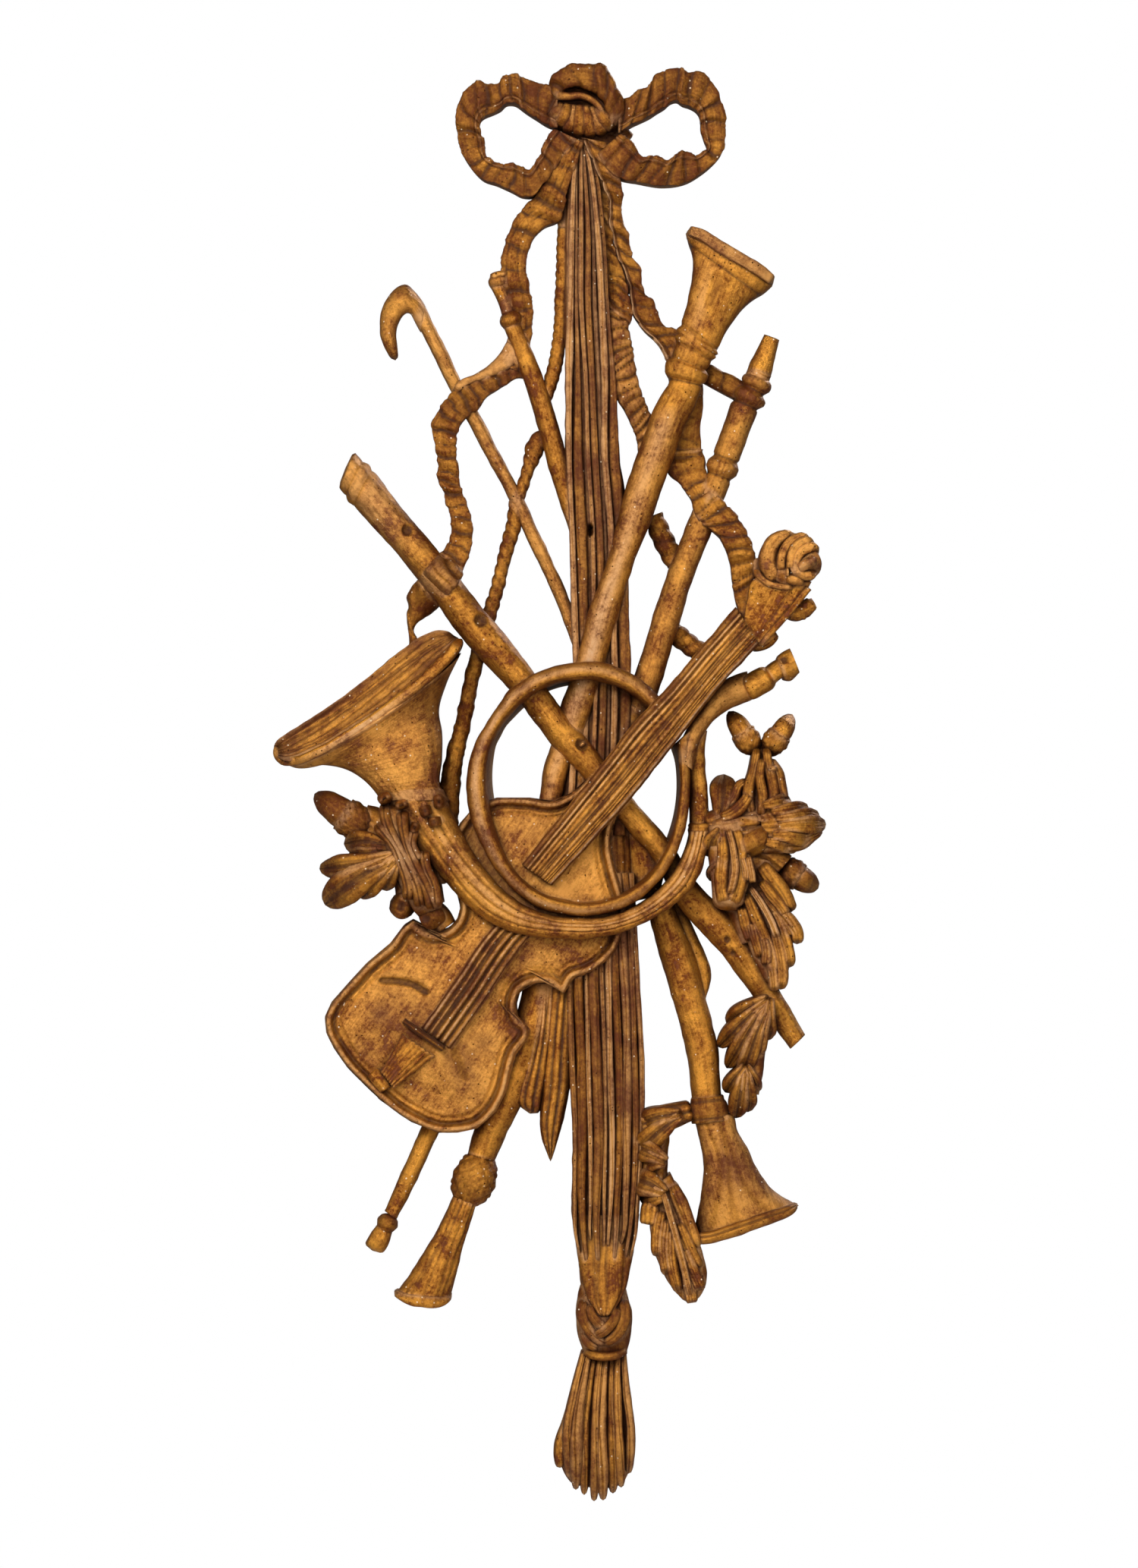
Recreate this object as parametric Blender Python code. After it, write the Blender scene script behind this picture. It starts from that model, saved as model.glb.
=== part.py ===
"""Giltwood wall applique: a trophy of musical instruments tied to a reeded sheaf.

The trophy is carved as one. Its outlines are laid out on a carver's pattern: a flat drawing
whose units are shared by every path below, x to the right and y downwards. The pattern is
brought to full size by HEIGHT, and each element is then given its own forward projection
from the wall in metres. Front faces -Y, the sawn back lies on y = 0, up is +Z.
"""
import math

import bmesh
import bpy
import numpy as np

# Overall size and the pattern it scales
HEIGHT = 1.23
PATTERN_HEIGHT = 1893.0
UNIT = HEIGHT / PATTERN_HEIGHT
PATTERN_ORIGIN = (785.0, 735.0)

# Projection of each element from the wall, m
BOW_FRONT = 0.050
HOOD_FRONT = 0.060
RIBBON_FRONT = 0.026
CORD_FRONT = 0.022
CROOK_FRONT = 0.034
STAFF_FRONT = 0.022
SHEAF_FRONT = 0.046
OBOE_FRONT = 0.034
OBOE_BELL_FRONT = 0.050
TRUMPET_FRONT = 0.058
TRUMPET_BELL_FRONT = 0.068
PIPE_FRONT = 0.040
CONE_FRONT = 0.050
FLUTE_FRONT = 0.058
VIOLIN_FRONT = 0.054
NECK_FRONT = 0.088
SCROLL_FRONT = 0.080
RING_FRONT = 0.078
HORN_FRONT = 0.080
LIP_FRONT = 0.090
LEAF_FRONT = 0.074
ACORN_FRONT = 0.056
SPRIG_FRONT = 0.060
DRAPE_FRONT = 0.040
KNOT_FRONT = 0.056
TASSEL_FRONT = 0.050

# Carving sizes
REED_CUT = 0.0060
VEIN_CUT = 0.0030
VIOLIN_BEAD = 0.0030
VIOLIN_ARCH = 0.0080
BELL_WALL = 0.0060
NAIL_WIDTH = 0.0036
NAIL_HEIGHT = 0.0080
PLANED_OFF = 0.0014

# Mesh settings
STEP = 8.0
VOXEL = 0.0019
KEEP = 0.0125

shells = []


def curve(points, count):
    """Points spaced evenly along a smooth curve through the pattern points."""
    p = np.array(points, float)
    d = np.r_[0.0, np.cumsum(np.hypot(*np.diff(p, axis=0).T))]
    t = np.linspace(0.0, d[-1], count)
    if len(p) < 3:
        return np.c_[np.interp(t, d, p[:, 0]), np.interp(t, d, p[:, 1])]
    slope = np.gradient(p, d, axis=0)
    i = np.clip(np.searchsorted(d, t) - 1, 0, len(d) - 2)
    h = (d[i + 1] - d[i])[:, None]
    s = (t - d[i])[:, None] / h
    return ((2 * s ** 3 - 3 * s ** 2 + 1) * p[i] + (s ** 3 - 2 * s ** 2 + s) * h * slope[i]
            + (3 * s ** 2 - 2 * s ** 3) * p[i + 1] + (s ** 3 - s ** 2) * h * slope[i + 1])


def spread(value, count):
    """One value, or several spaced evenly along a path, as one number per station."""
    v = np.atleast_1d(np.array(value, float))
    return np.interp(np.linspace(0, 1, count), np.linspace(0, 1, len(v)), v)


def ease(count, tail, tip):
    """Shrinking factor that rounds off the two ends over the given shares of the length."""
    t = np.linspace(0, 1, count)
    e = np.ones(count)
    if tail > 0:
        e *= np.sqrt(np.clip(1 - np.clip(1 - t / tail, 0, 1) ** 2, 0.01, 1))
    if tip > 0:
        e *= np.sqrt(np.clip(1 - np.clip(1 - (1 - t) / tip, 0, 1) ** 2, 0.01, 1))
    return e


def place(plan, depth):
    """Pattern positions and projections turned into points in space."""
    x = (plan[..., 0] - PATTERN_ORIGIN[0]) * UNIT
    z = (PATTERN_ORIGIN[1] - plan[..., 1]) * UNIT
    return np.stack([x, -depth, z], axis=-1)


def add_rings(rings):
    """Keeps a closed skin made of rings of points, one after another, capped at both ends."""
    n, m = rings.shape[:2]
    i = np.arange(n - 1)[:, None] * m
    j = np.arange(m)[None, :]
    k = (j + 1) % m
    quads = np.stack([i + j, i + k, i + k + m, i + j + m], axis=-1).reshape(-1, 4)
    caps = [list(range(m - 1, -1, -1)), list(range((n - 1) * m, n * m))]
    shells.append((rings.reshape(-1, 3), quads.tolist() + caps))


def carve(mid, half, front, crown=1.0, draft=(0.1, 0.1), across=11, reeds=0, cut=REED_CUT,
          groove=0.0, lean=None):
    """A length of carving: flat at the back, sloping sides, a rounded front.

    mid and half give the middle and the half width of each station on the pattern. crown is
    the height of the rounding over the half width. reeds cuts that many round reeds along
    it, groove a single channel along the middle. lean moves the front along the pattern.
    """
    n = len(mid)
    front = spread(front, n)[:, None]
    width = np.hypot(half[:, 0], half[:, 1])[:, None] * UNIT
    rise = np.minimum(crown * width, 0.85 * front)
    angle = np.linspace(math.pi, 0, across)[None, :]
    c = np.cos(angle)
    s = np.sin(angle)
    depth = front - rise + rise * s
    if reeds:
        wave = np.abs(np.sin(math.pi * reeds * (c + 1) / 2)) ** 0.6
        depth = depth - cut * (1 - wave) * s ** 0.4
    if groove:
        depth = depth - groove * np.exp(-(c / 0.22) ** 2)
    side = np.where(c < 0, 1 - draft[0], 1 - draft[1]) * c
    plan = mid[:, None, :] + half[:, None, :] * np.broadcast_to(side, depth.shape)[..., None]
    if lean is not None:
        plan = plan + lean * np.broadcast_to(s, depth.shape)[..., None]
    back = np.zeros((n, 1))
    left = place(mid[:, None, :] - half[:, None, :], back)
    right = place(mid[:, None, :] + half[:, None, :], back)
    add_rings(np.concatenate([left, place(plan, depth), right], axis=1))


def band(left, right, front, tail=0.0, tip=0.0, **more):
    """A length of carving between two edges of the pattern."""
    p = np.array(left, float)
    length = np.hypot(*np.diff(p, axis=0).T).sum()
    n = max(6, int(length / STEP) + 2)
    a = curve(left, n)
    b = curve(right, n)
    e = ease(n, tail, tip)
    fall = (0.45 + 0.55 * e) * spread(front, n)
    carve((a + b) / 2, (b - a) / 2 * e[:, None], fall, **more)


def tube(path, widths, front, tail=0.0, tip=0.0, **more):
    """A length of carving along one middle line, with its widths on the pattern."""
    p = np.array(path, float)
    length = np.hypot(*np.diff(p, axis=0).T).sum()
    n = max(7, int(length / STEP) + 2)
    mid = curve(path, n)
    run = np.gradient(mid, axis=0)
    run /= np.hypot(run[:, 0], run[:, 1])[:, None]
    e = ease(n, tail, tip)
    half = np.c_[-run[:, 1], run[:, 0]] * (spread(widths, n) * e)[:, None] / 2
    fall = (0.45 + 0.55 * e) * spread(front, n)
    carve(mid, half, fall, **more)


def knob(centre, along, length, width, front, **more):
    """A rounded boss: centre, the direction it runs in degrees, its length and width."""
    a = math.radians(along)
    step = np.array([math.cos(a), math.sin(a)]) * length / 2
    c = np.array(centre, float)
    tube([tuple(c - step), tuple(c), tuple(c + step)], width, front, tail=0.5, tip=0.5, **more)


def leaf(root, tips, front, widths, cut=VEIN_CUT):
    """A carved leaf: one channelled lobe from the root to each tip."""
    for tip, width in zip(tips, widths):
        bend = ((root[0] + tip[0]) / 2, (root[1] + tip[1]) / 2 - 3)
        tube([root, bend, tip[:2]], [width * 0.55, width * 0.8, width, width],
             [front, front * 1.02, front * 0.9, front * 0.72], tip=0.35, tail=0.1, crown=0.8,
             groove=cut)


def bow():
    """The knotted bow: two looped ends, a pleated fan and the hood that crosses them."""
    tube([(742, 140), (722, 137), (700, 131), (676, 119), (652, 131), (630, 131), (617, 148),
          (617, 170), (624, 195), (636, 216), (655, 231), (677, 238), (697, 242), (713, 224),
          (726, 203), (740, 180)],
         [24, 30, 34, 36, 36, 38, 34, 32, 32, 31, 29, 30, 30, 27, 25, 25],
         [BOW_FRONT, BOW_FRONT * 0.9, BOW_FRONT * 0.75, BOW_FRONT * 0.8, BOW_FRONT],
         crown=0.8, reeds=3)
    tube([(800, 165), (818, 158), (836, 147), (860, 129), (885, 114), (910, 119), (931, 127),
          (941, 149), (940, 172), (942, 194), (928, 211), (905, 223), (880, 228), (858, 226),
          (834, 214), (815, 196)],
         [24, 30, 37, 40, 41, 42, 38, 34, 34, 34, 36, 38, 38, 38, 36, 30],
         [BOW_FRONT, BOW_FRONT * 0.9, BOW_FRONT * 0.75, BOW_FRONT * 0.8, BOW_FRONT],
         crown=0.8, reeds=3)
    band([(752, 88), (738, 99), (724, 113), (724, 132)], [(796, 89), (806, 102), (817, 124), (831, 136)],
         [HOOD_FRONT * 0.8, HOOD_FRONT, HOOD_FRONT, HOOD_FRONT * 0.9], tail=0.25, crown=0.7)
    for tip in [(724, 159), (734, 169), (748, 177), (764, 182), (781, 183), (799, 178),
                (812, 169), (818, 161)]:
        tube([(766, 128), ((766 + tip[0]) / 2, (128 + tip[1]) / 2), tip], [6, 13, 19],
             [HOOD_FRONT * 0.9, HOOD_FRONT * 0.92, HOOD_FRONT * 0.8], tip=0.25, crown=0.9)


def ribbons():
    """The two ribbon tails that fall from the bow and tie the instruments."""
    low = RIBBON_FRONT
    band([(730, 180), (718, 225), (702, 260), (683, 281), (672, 300), (664, 322), (660, 345), (662, 380),
          (667, 415), (667, 450), (660, 467), (645, 480), (625, 494), (606, 504), (592, 521),
          (574, 547), (569, 563), (573, 580), (576, 605), (580, 635), (587, 662), (595, 690),
          (592, 712), (578, 733)],
         [(768, 180), (762, 235), (752, 275), (715, 301), (702, 316), (695, 332), (694, 350), (699, 380),
          (703, 410), (701, 440), (694, 475), (684, 497), (655, 513), (636, 528), (616, 547),
          (604, 570), (601, 595), (605, 620), (608, 640), (615, 660), (623, 690), (623, 715),
          (616, 738), (606, 765)],
         [low * 1.4, low, low, low * 1.2, low, low, low * 1.3, low * 1.8], crown=0.7, reeds=2)
    tube([(592, 745), (575, 765), (562, 783)], [34, 38, 34], FLUTE_FRONT * 1.06, crown=0.5,
         tail=0.3, tip=0.3)
    band([(552, 765), (540, 776), (535, 789), (536, 810), (539, 830), (539, 850)],
         [(580, 797), (562, 811), (552, 820), (546, 832), (549, 840), (552, 851)],
         [low * 1.5, low, low * 0.9], crown=0.7, reeds=2)
    band([(770, 190), (777, 205), (786, 226), (795, 246), (802, 264), (803, 285), (806, 305),
          (812, 330), (820, 352), (828, 370), (830, 388), (834, 418), (846, 431), (862, 446),
          (880, 480)],
         [(800, 188), (806, 208), (812, 228), (818, 245), (820, 262), (820, 282), (823, 300),
          (831, 318), (834, 340), (846, 362), (852, 386), (866, 408), (874, 424), (884, 432),
          (900, 440)],
         [low * 1.5, low * 0.9, low * 0.9, low, low * 1.3], crown=0.7, reeds=2)
    band([(904, 505), (902, 540), (898, 575), (884, 600), (880, 622), (893, 634), (908, 655),
          (914, 678), (926, 690), (944, 706), (956, 724), (963, 750), (967, 775), (972, 800),
          (980, 830)],
         [(926, 512), (927, 540), (923, 556), (924, 580), (927, 602), (932, 622), (940, 645),
          (954, 662), (966, 674), (979, 695), (990, 714), (994, 735), (992, 760), (990, 790),
          (992, 820)],
         [low, low, low * 1.4, PIPE_FRONT * 1.2, low * 1.7, low * 2.2, SCROLL_FRONT * 0.9],
         crown=0.7, reeds=2)
    band([(772, 180), (786, 240), (792, 300), (796, 360), (800, 430)],
         [(800, 190), (812, 240), (816, 300), (832, 360), (846, 425)], low * 0.8, crown=0.3)
    tube([(915, 480), (948, 500), (976, 514)], [26, 28, 28], low * 1.1, crown=0.7)


def cords():
    """Twisted cords behind the instruments."""
    low = CORD_FRONT
    tube([(742, 280), (741, 350), (739, 400), (736, 450), (731, 485), (720, 525)], 15, low)
    tube([(720, 560), (709, 584), (700, 605), (690, 635), (679, 668), (676, 690), (670, 715),
          (662, 745), (655, 775), (646, 805), (638, 835), (628, 868), (622, 890), (616, 923),
          (609, 956), (600, 992), (594, 1025), (595, 1075)],
         [22, 22, 17, 16, 17, 19, 17, 16, 16, 17, 20, 20, 19, 20, 23, 28, 30, 28], low)
    tube([(862, 678), (873, 706), (892, 742)], [24, 27, 24], low)
    tube([(890, 834), (910, 850), (940, 868)], [26, 24, 24], low)
    tube([(803, 405), (816, 440), (822, 480), (828, 515), (838, 545), (852, 585), (850, 615)],
         [18, 30, 32, 30, 28, 26, 20], SHEAF_FRONT * 0.9, reeds=3)


def crook():
    """The shepherd's crook: a hooked head and a long thin staff."""
    band([(514, 472), (506, 457), (501, 442), (500, 424), (504, 405), (511, 391), (522, 379),
          (535, 374), (548, 384), (562, 405)],
         [(526, 470), (523, 453), (522, 440), (525, 426), (530, 416), (536, 412), (540, 412),
          (542, 413), (546, 415), (552, 425)],
         [CROOK_FRONT * 0.8, CROOK_FRONT, CROOK_FRONT, CROOK_FRONT * 0.8, STAFF_FRONT], tail=0.08)
    tube([(550, 405), (602, 510), (645, 590), (680, 655), (700, 700), (735, 775), (765, 850)],
         [20, 19, 18, 18], STAFF_FRONT)


def oboe():
    """The oboe: reed end at the upper left, bell at the lower right."""
    deep = OBOE_FRONT
    knob((655, 372), 75, 26, 24, deep)
    tube([(655, 372), (664, 395), (670, 412)], [20, 17, 18], deep * 0.9)
    knob((673, 421), 68, 26, 29, deep * 1.15)
    tube([(673, 421), (690, 465), (703, 500), (722, 560), (740, 625), (765, 700)],
         [22, 26, 27, 27], deep)
    band([(852, 1195), (870, 1262), (888, 1323), (905, 1390), (913, 1450)],
         [(884, 1185), (918, 1265), (932, 1323), (945, 1370), (951, 1450)], [deep, deep * 1.1])
    tube([(931, 1442), (934, 1480)], 50, deep * 1.35, tail=0.4, tip=0.4)
    band([(914, 1470), (922, 1505), (926, 1541), (924, 1573), (919, 1605), (911, 1640)],
         [(966, 1470), (980, 1505), (1000, 1543), (1020, 1568), (1038, 1581), (1053, 1592)],
         [deep * 1.2, deep * 1.3, OBOE_BELL_FRONT], crown=0.7)
    tube([(914, 1632), (957, 1624), (1000, 1612), (1040, 1598), (1050, 1591)],
         [22, 20, 16, 12], [OBOE_BELL_FRONT, OBOE_BELL_FRONT * 1.06, OBOE_BELL_FRONT * 0.8], tip=0.1)
    band([(880, 1185), (902, 1225), (915, 1262), (925, 1300), (929, 1322)],
         [(892, 1182), (916, 1225), (930, 1258), (938, 1280), (931, 1322)], deep * 0.6, tip=0.2)


def trumpet():
    """The trumpet: bell at the upper right, long shaft down over the sheaf."""
    deep = TRUMPET_FRONT
    bell = TRUMPET_BELL_FRONT
    band([(902, 302), (911, 318), (913, 340), (911, 370), (904, 410), (893, 445)],
         [(1020, 376), (1003, 388), (981, 404), (965, 425), (952, 448), (942, 474)],
         [bell * 0.95, bell, bell * 0.95, deep], crown=0.55)
    tube([(908, 306), (934, 321), (970, 341), (1004, 363), (1018, 376)], [14, 17, 17, 15],
         [bell, bell * 1.06, bell * 1.06, bell], crown=0.7)
    tube([(921, 447), (910, 472)], 62, deep * 1.12, tail=0.5, tip=0.5)
    tube([(908, 478), (902, 500)], 56, deep * 1.08, tail=0.5, tip=0.5)
    band([(882, 495), (858, 545), (840, 600), (825, 640), (813, 690), (795, 755), (775, 805),
          (765, 850), (748, 907), (738, 932), (727, 980), (717, 1010), (710, 1060)],
         [(928, 505), (912, 540), (893, 590), (885, 615), (870, 650), (848, 715), (825, 775),
          (806, 845), (789, 905), (776, 950), (763, 985), (748, 1020), (738, 1060)],
         [deep, deep, deep * 0.95, deep * 0.75], draft=(0.05, 0.2))
    tube([(914, 470), (912, 490)], 46, deep)


def right_pipe():
    """The long pipe behind the trophy: mouthpiece upper right, pine cone and flare below."""
    deep = PIPE_FRONT
    band([(1010, 441), (1001, 456), (990, 475), (982, 492)], [(1026, 449), (1022, 470), (1017, 490), (1012, 505)],
         [deep * 0.9, deep])
    tube([(999, 499), (992, 517)], 46, deep * 1.15, tail=0.4, tip=0.4)
    tube([(988, 518), (982, 533)], 42, deep * 1.1, tail=0.4, tip=0.4)
    tube([(982, 530), (962, 590), (943, 640), (920, 700), (900, 750), (880, 810), (862, 870),
          (838, 940)], [35, 34, 35, 37], deep)
    tube([(955, 602), (947, 628)], 44, deep * 1.15, tail=0.4, tip=0.4)
    band([(700, 1255), (682, 1330), (655, 1420), (636, 1465), (624, 1490), (617, 1520)],
         [(752, 1260), (733, 1330), (701, 1420), (680, 1470), (664, 1502), (652, 1530)], deep)
    tube([(835, 930), (800, 1030), (760, 1140), (735, 1230)], 37, deep)
    knob((625, 1553), 112, 76, 58, CONE_FRONT)
    band([(598, 1572), (583, 1607), (562, 1644), (540, 1679), (521, 1704)],
         [(628, 1585), (618, 1618), (609, 1646), (601, 1680), (593, 1713)],
         [deep, deep * 1.05, deep * 1.15], crown=0.8)
    tube([(522, 1704), (540, 1716), (562, 1719), (585, 1716), (594, 1710)], [6, 9, 10, 9, 6],
         [deep * 0.6, deep * 1.1, deep * 1.1, deep * 0.6], tail=0.1, tip=0.1)


def stick():
    """The stick or beater that ends in a small ringed knob at the lower left."""
    band([(566, 1465), (554, 1489), (530, 1542), (507, 1598)], [(592, 1465), (579, 1492), (547, 1560), (522, 1607)],
         OBOE_FRONT * 0.85)
    knob((509, 1614), 25, 30, 27, OBOE_FRONT)
    band([(494, 1618), (484, 1629), (479, 1643)], [(515, 1629), (510, 1643), (501, 1656)],
         [OBOE_FRONT * 0.8, OBOE_FRONT], tip=0.15)


def flute():
    """The flute that crosses the trophy from the upper left to the lower right."""
    deep = FLUTE_FRONT
    band([(445, 640), (456, 655), (469, 670), (495, 698), (535, 745), (568, 785), (600, 830),
          (640, 876), (671, 908), (733, 988), (790, 1050)],
         [(465, 593), (480, 609), (494, 623), (515, 648), (556, 700), (591, 742), (625, 788),
          (662, 832), (690, 868), (752, 948), (815, 1025)],
         deep)
    tube([(468, 634), (484, 651)], 60, deep * 1.08, tail=0.4, tip=0.4)
    band([(790, 1050), (815, 1080), (864, 1136), (890, 1188), (951, 1257), (992, 1313), (1042, 1381)],
         [(815, 1025), (833, 1052), (876, 1100), (920, 1165), (969, 1212), (1012, 1278), (1060, 1364)],
         [deep, deep * 0.9, deep * 0.8, deep * 0.75])


def sheaf():
    """The reeded sheaf that runs down the middle of the trophy into a knot and tassel."""
    deep = SHEAF_FRONT
    band([(754, 165), (747, 260), (745, 330), (745, 400), (745, 520), (746, 640), (752, 720),
          (755, 790), (757, 900), (745, 1000), (738, 1100), (748, 1300), (752, 1440), (755, 1520),
          (754, 1610), (762, 1656), (768, 1690), (776, 1735)],
         [(776, 165), (790, 250), (796, 310), (800, 400), (812, 520), (817, 600), (826, 680),
          (828, 760), (829, 860), (832, 1000), (834, 1150), (842, 1313), (847, 1456), (844, 1540),
          (841, 1612), (833, 1660), (827, 1690), (814, 1740)],
         [deep * 0.9, deep, deep, deep, deep * 1.05, deep * 1.08, deep], crown=0.75, reeds=8,
         across=41)


def drapery():
    """Folded cloth beside the sheaf below the violin."""
    deep = DRAPE_FRONT
    band([(705, 1290), (700, 1370), (690, 1410), (681, 1445), (684, 1462)],
         [(735, 1290), (728, 1370), (722, 1410), (716, 1450), (712, 1474)], deep, reeds=2, tip=0.08)
    band([(724, 1300), (718, 1370), (714, 1430), (712, 1490), (722, 1530)],
         [(760, 1300), (756, 1370), (752, 1430), (742, 1475), (729, 1532)], deep * 1.05, reeds=3,
         tip=0.15)


def knot_and_tassel():
    """The plaited knot at the foot of the sheaf and the tassel below it."""
    deep = KNOT_FRONT
    band([(764, 1700), (760, 1725), (760, 1745), (767, 1778)], [(825, 1700), (830, 1722), (832, 1745), (827, 1778)],
         [deep * 0.85, deep, deep, deep * 0.85], crown=0.8)
    for path in ([(764, 1712), (785, 1740), (805, 1748)], [(828, 1712), (812, 1745), (782, 1772)],
                 [(768, 1745), (785, 1765), (800, 1778)], [(828, 1742), (820, 1762), (800, 1775)]):
        tube(path, [14, 17, 14], deep * 1.05, tail=0.2, tip=0.2, crown=0.9)
    tube([(764, 1781), (796, 1786), (828, 1780)], 12, [deep * 0.7, deep, deep * 0.7])
    for k, foot in enumerate([(744, 1955), (762, 1966), (781, 1974), (797, 1979), (812, 1968),
                              (826, 1946)]):
        top = 770 + 10.5 * k
        tube([(top, 1778), (top + (foot[0] - top) * 0.55, 1850), (foot[0], 1910), foot],
             [13, 18, 20, 18], [TASSEL_FRONT * 0.85, TASSEL_FRONT, TASSEL_FRONT * 1.05,
                               TASSEL_FRONT * 0.7], tip=0.12, crown=1.0)
    tube([(756, 1850), (744, 1890), (737, 1915), (738, 1937)], [12, 18, 18, 12],
         TASSEL_FRONT * 0.7, tip=0.2, tail=0.2)


def horn():
    """The hunting horn: coiled ring, outer tube, open bell and mouthpipe."""
    deep = RING_FRONT
    outer = [(872, 922), (862, 912), (845, 897), (825, 885), (805, 877), (785, 873), (765, 873),
             (745, 876), (725, 881), (703, 889), (688, 898), (672, 909), (658, 922), (645, 938),
             (634, 956), (625, 975), (618, 1003), (615, 1035), (618, 1062), (625, 1090),
             (636, 1115), (650, 1140), (670, 1165), (690, 1183), (712, 1196), (740, 1204),
             (770, 1207), (800, 1203), (825, 1194), (850, 1178), (870, 1158), (888, 1130),
             (900, 1100), (906, 1070), (908, 1040), (909, 1000), (912, 960)]
    inner = [(856, 942), (845, 932), (830, 920), (810, 910), (790, 904), (770, 902), (750, 903),
             (730, 908), (712, 916), (700, 925), (688, 935), (675, 948), (666, 958), (660, 970),
             (654, 982), (650, 998), (649, 1018), (650, 1035), (652, 1055), (655, 1075),
             (662, 1100), (672, 1125), (683, 1143), (700, 1160), (720, 1172), (745, 1180),
             (770, 1183), (795, 1180), (820, 1172), (840, 1160), (858, 1143), (872, 1120),
             (884, 1090), (890, 1065), (892, 1040), (890, 1005), (884, 985)]
    band(outer, inner, deep, draft=(0.05, 0.45))
    band([(503, 1040), (512, 1066), (535, 1100), (563, 1132), (594, 1168), (630, 1203),
          (668, 1224), (719, 1234), (757, 1236), (800, 1232), (853, 1213), (886, 1192),
          (914, 1166), (927, 1135), (936, 1095)],
         [(585, 1040), (592, 1060), (604, 1085), (622, 1118), (646, 1152), (674, 1180),
          (700, 1196), (725, 1204), (760, 1208), (800, 1206), (850, 1185), (876, 1162),
          (893, 1138), (902, 1118), (908, 1095)],
         [HORN_FRONT * 0.97, HORN_FRONT, HORN_FRONT, HORN_FRONT * 0.95, HORN_FRONT * 0.9],
         crown=0.8)
    tube([(920, 1100), (919, 1040), (916, 985), (918, 965)], [25, 24, 22, 22], deep * 0.8)
    tube([(921, 1090), (921, 1100)], 32, deep * 0.95, tail=0.4, tip=0.4)
    tube([(893, 1010), (900, 985), (915, 958), (945, 925), (980, 905), (1015, 890), (1040, 876)],
         [22, 28, 32, 32, 32, 34, 36], [deep, deep * 0.95, deep * 0.8, deep * 0.7, deep * 0.65])
    bell()


def bell():
    """The horn's bell: a flaring skin, its lip leaning back, hollowed from the mouth."""
    left = [(503, 1055), (498, 1047), (483, 1030), (462, 1016), (424, 1007), (385, 1009), (362, 996)]
    right = [(592, 1055), (580, 1035), (582, 1000), (582, 964), (578, 938), (588, 900), (607, 860)]
    n = 22
    a = curve(left, n)
    b = curve(right, n)
    front = spread([HORN_FRONT * 0.97, HORN_FRONT, HORN_FRONT * 1.02, LIP_FRONT], n)
    axis = np.array([-0.53, -0.85])
    flare = np.linspace(0, 1, n) ** 2
    wall = BELL_WALL / UNIT
    rows = []
    steps = [(k, 0.0) for k in range(n)]
    steps += [(n - 1, wall), (n - 2, 1.3 * wall), (n - 4, 1.6 * wall), (n - 6, 2.0 * wall),
              (n - 8, 2.6 * wall)]
    angle = np.linspace(math.pi, 0, 17)
    c = np.cos(angle)[:, None]
    s = np.sin(angle)[:, None]
    for k, inset in steps:
        mid = (a[k] + b[k]) / 2
        half = (b[k] - a[k]) / 2
        size = np.hypot(half[0], half[1])
        half = half * (size - inset) / size
        low = np.array(0.0 if inset == 0 else 0.014)
        rise = min(0.62 * size * UNIT, 0.8 * front[k])
        plan = mid + half * c - axis * 25 * flare[k] * s * (1 - 0.35 * c)
        depth = (front[k] - inset * UNIT - rise + rise * s)[:, 0]
        rows.append([place(mid - half, low), *place(plan, depth), place(mid + half, low)])
    add_rings(np.array(rows))
    band([(372, 1000), (420, 985), (470, 955), (520, 925), (570, 885), (612, 852)],
         [(357, 985), (403, 953), (442, 927), (493, 886), (542, 846), (576, 829), (612, 832)],
         [0.022, 0.026, 0.028, 0.026, 0.024], crown=0.3, tail=0.06, draft=(0.0, 0.05))


def violin_outline():
    """The two sides of the violin body, from the tail upwards."""
    left = [(499, 1445), (484, 1431), (459, 1406), (441, 1380), (431, 1360), (429, 1339),
            (438, 1319), (461, 1293), (484, 1268), (515, 1242), (533, 1218), (546, 1212),
            (556, 1222), (575, 1228), (597, 1220), (607, 1195), (600, 1166), (590, 1146),
            (592, 1120), (606, 1085), (626, 1062), (654, 1051), (698, 1051), (728, 1055),
            (754, 1044), (784, 1016)]
    right = [(504, 1450), (520, 1463), (543, 1477), (579, 1491), (604, 1491), (630, 1485),
             (655, 1462), (668, 1436), (674, 1411), (681, 1388), (697, 1365), (696, 1350),
             (683, 1339), (681, 1324), (686, 1306), (704, 1296), (724, 1296), (742, 1310),
             (757, 1288), (773, 1283), (800, 1265), (811, 1252), (821, 1225), (826, 1195),
             (818, 1169), (810, 1141), (805, 1113), (810, 1083), (830, 1057)]
    return np.array(left, float), np.array(right, float)


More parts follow.
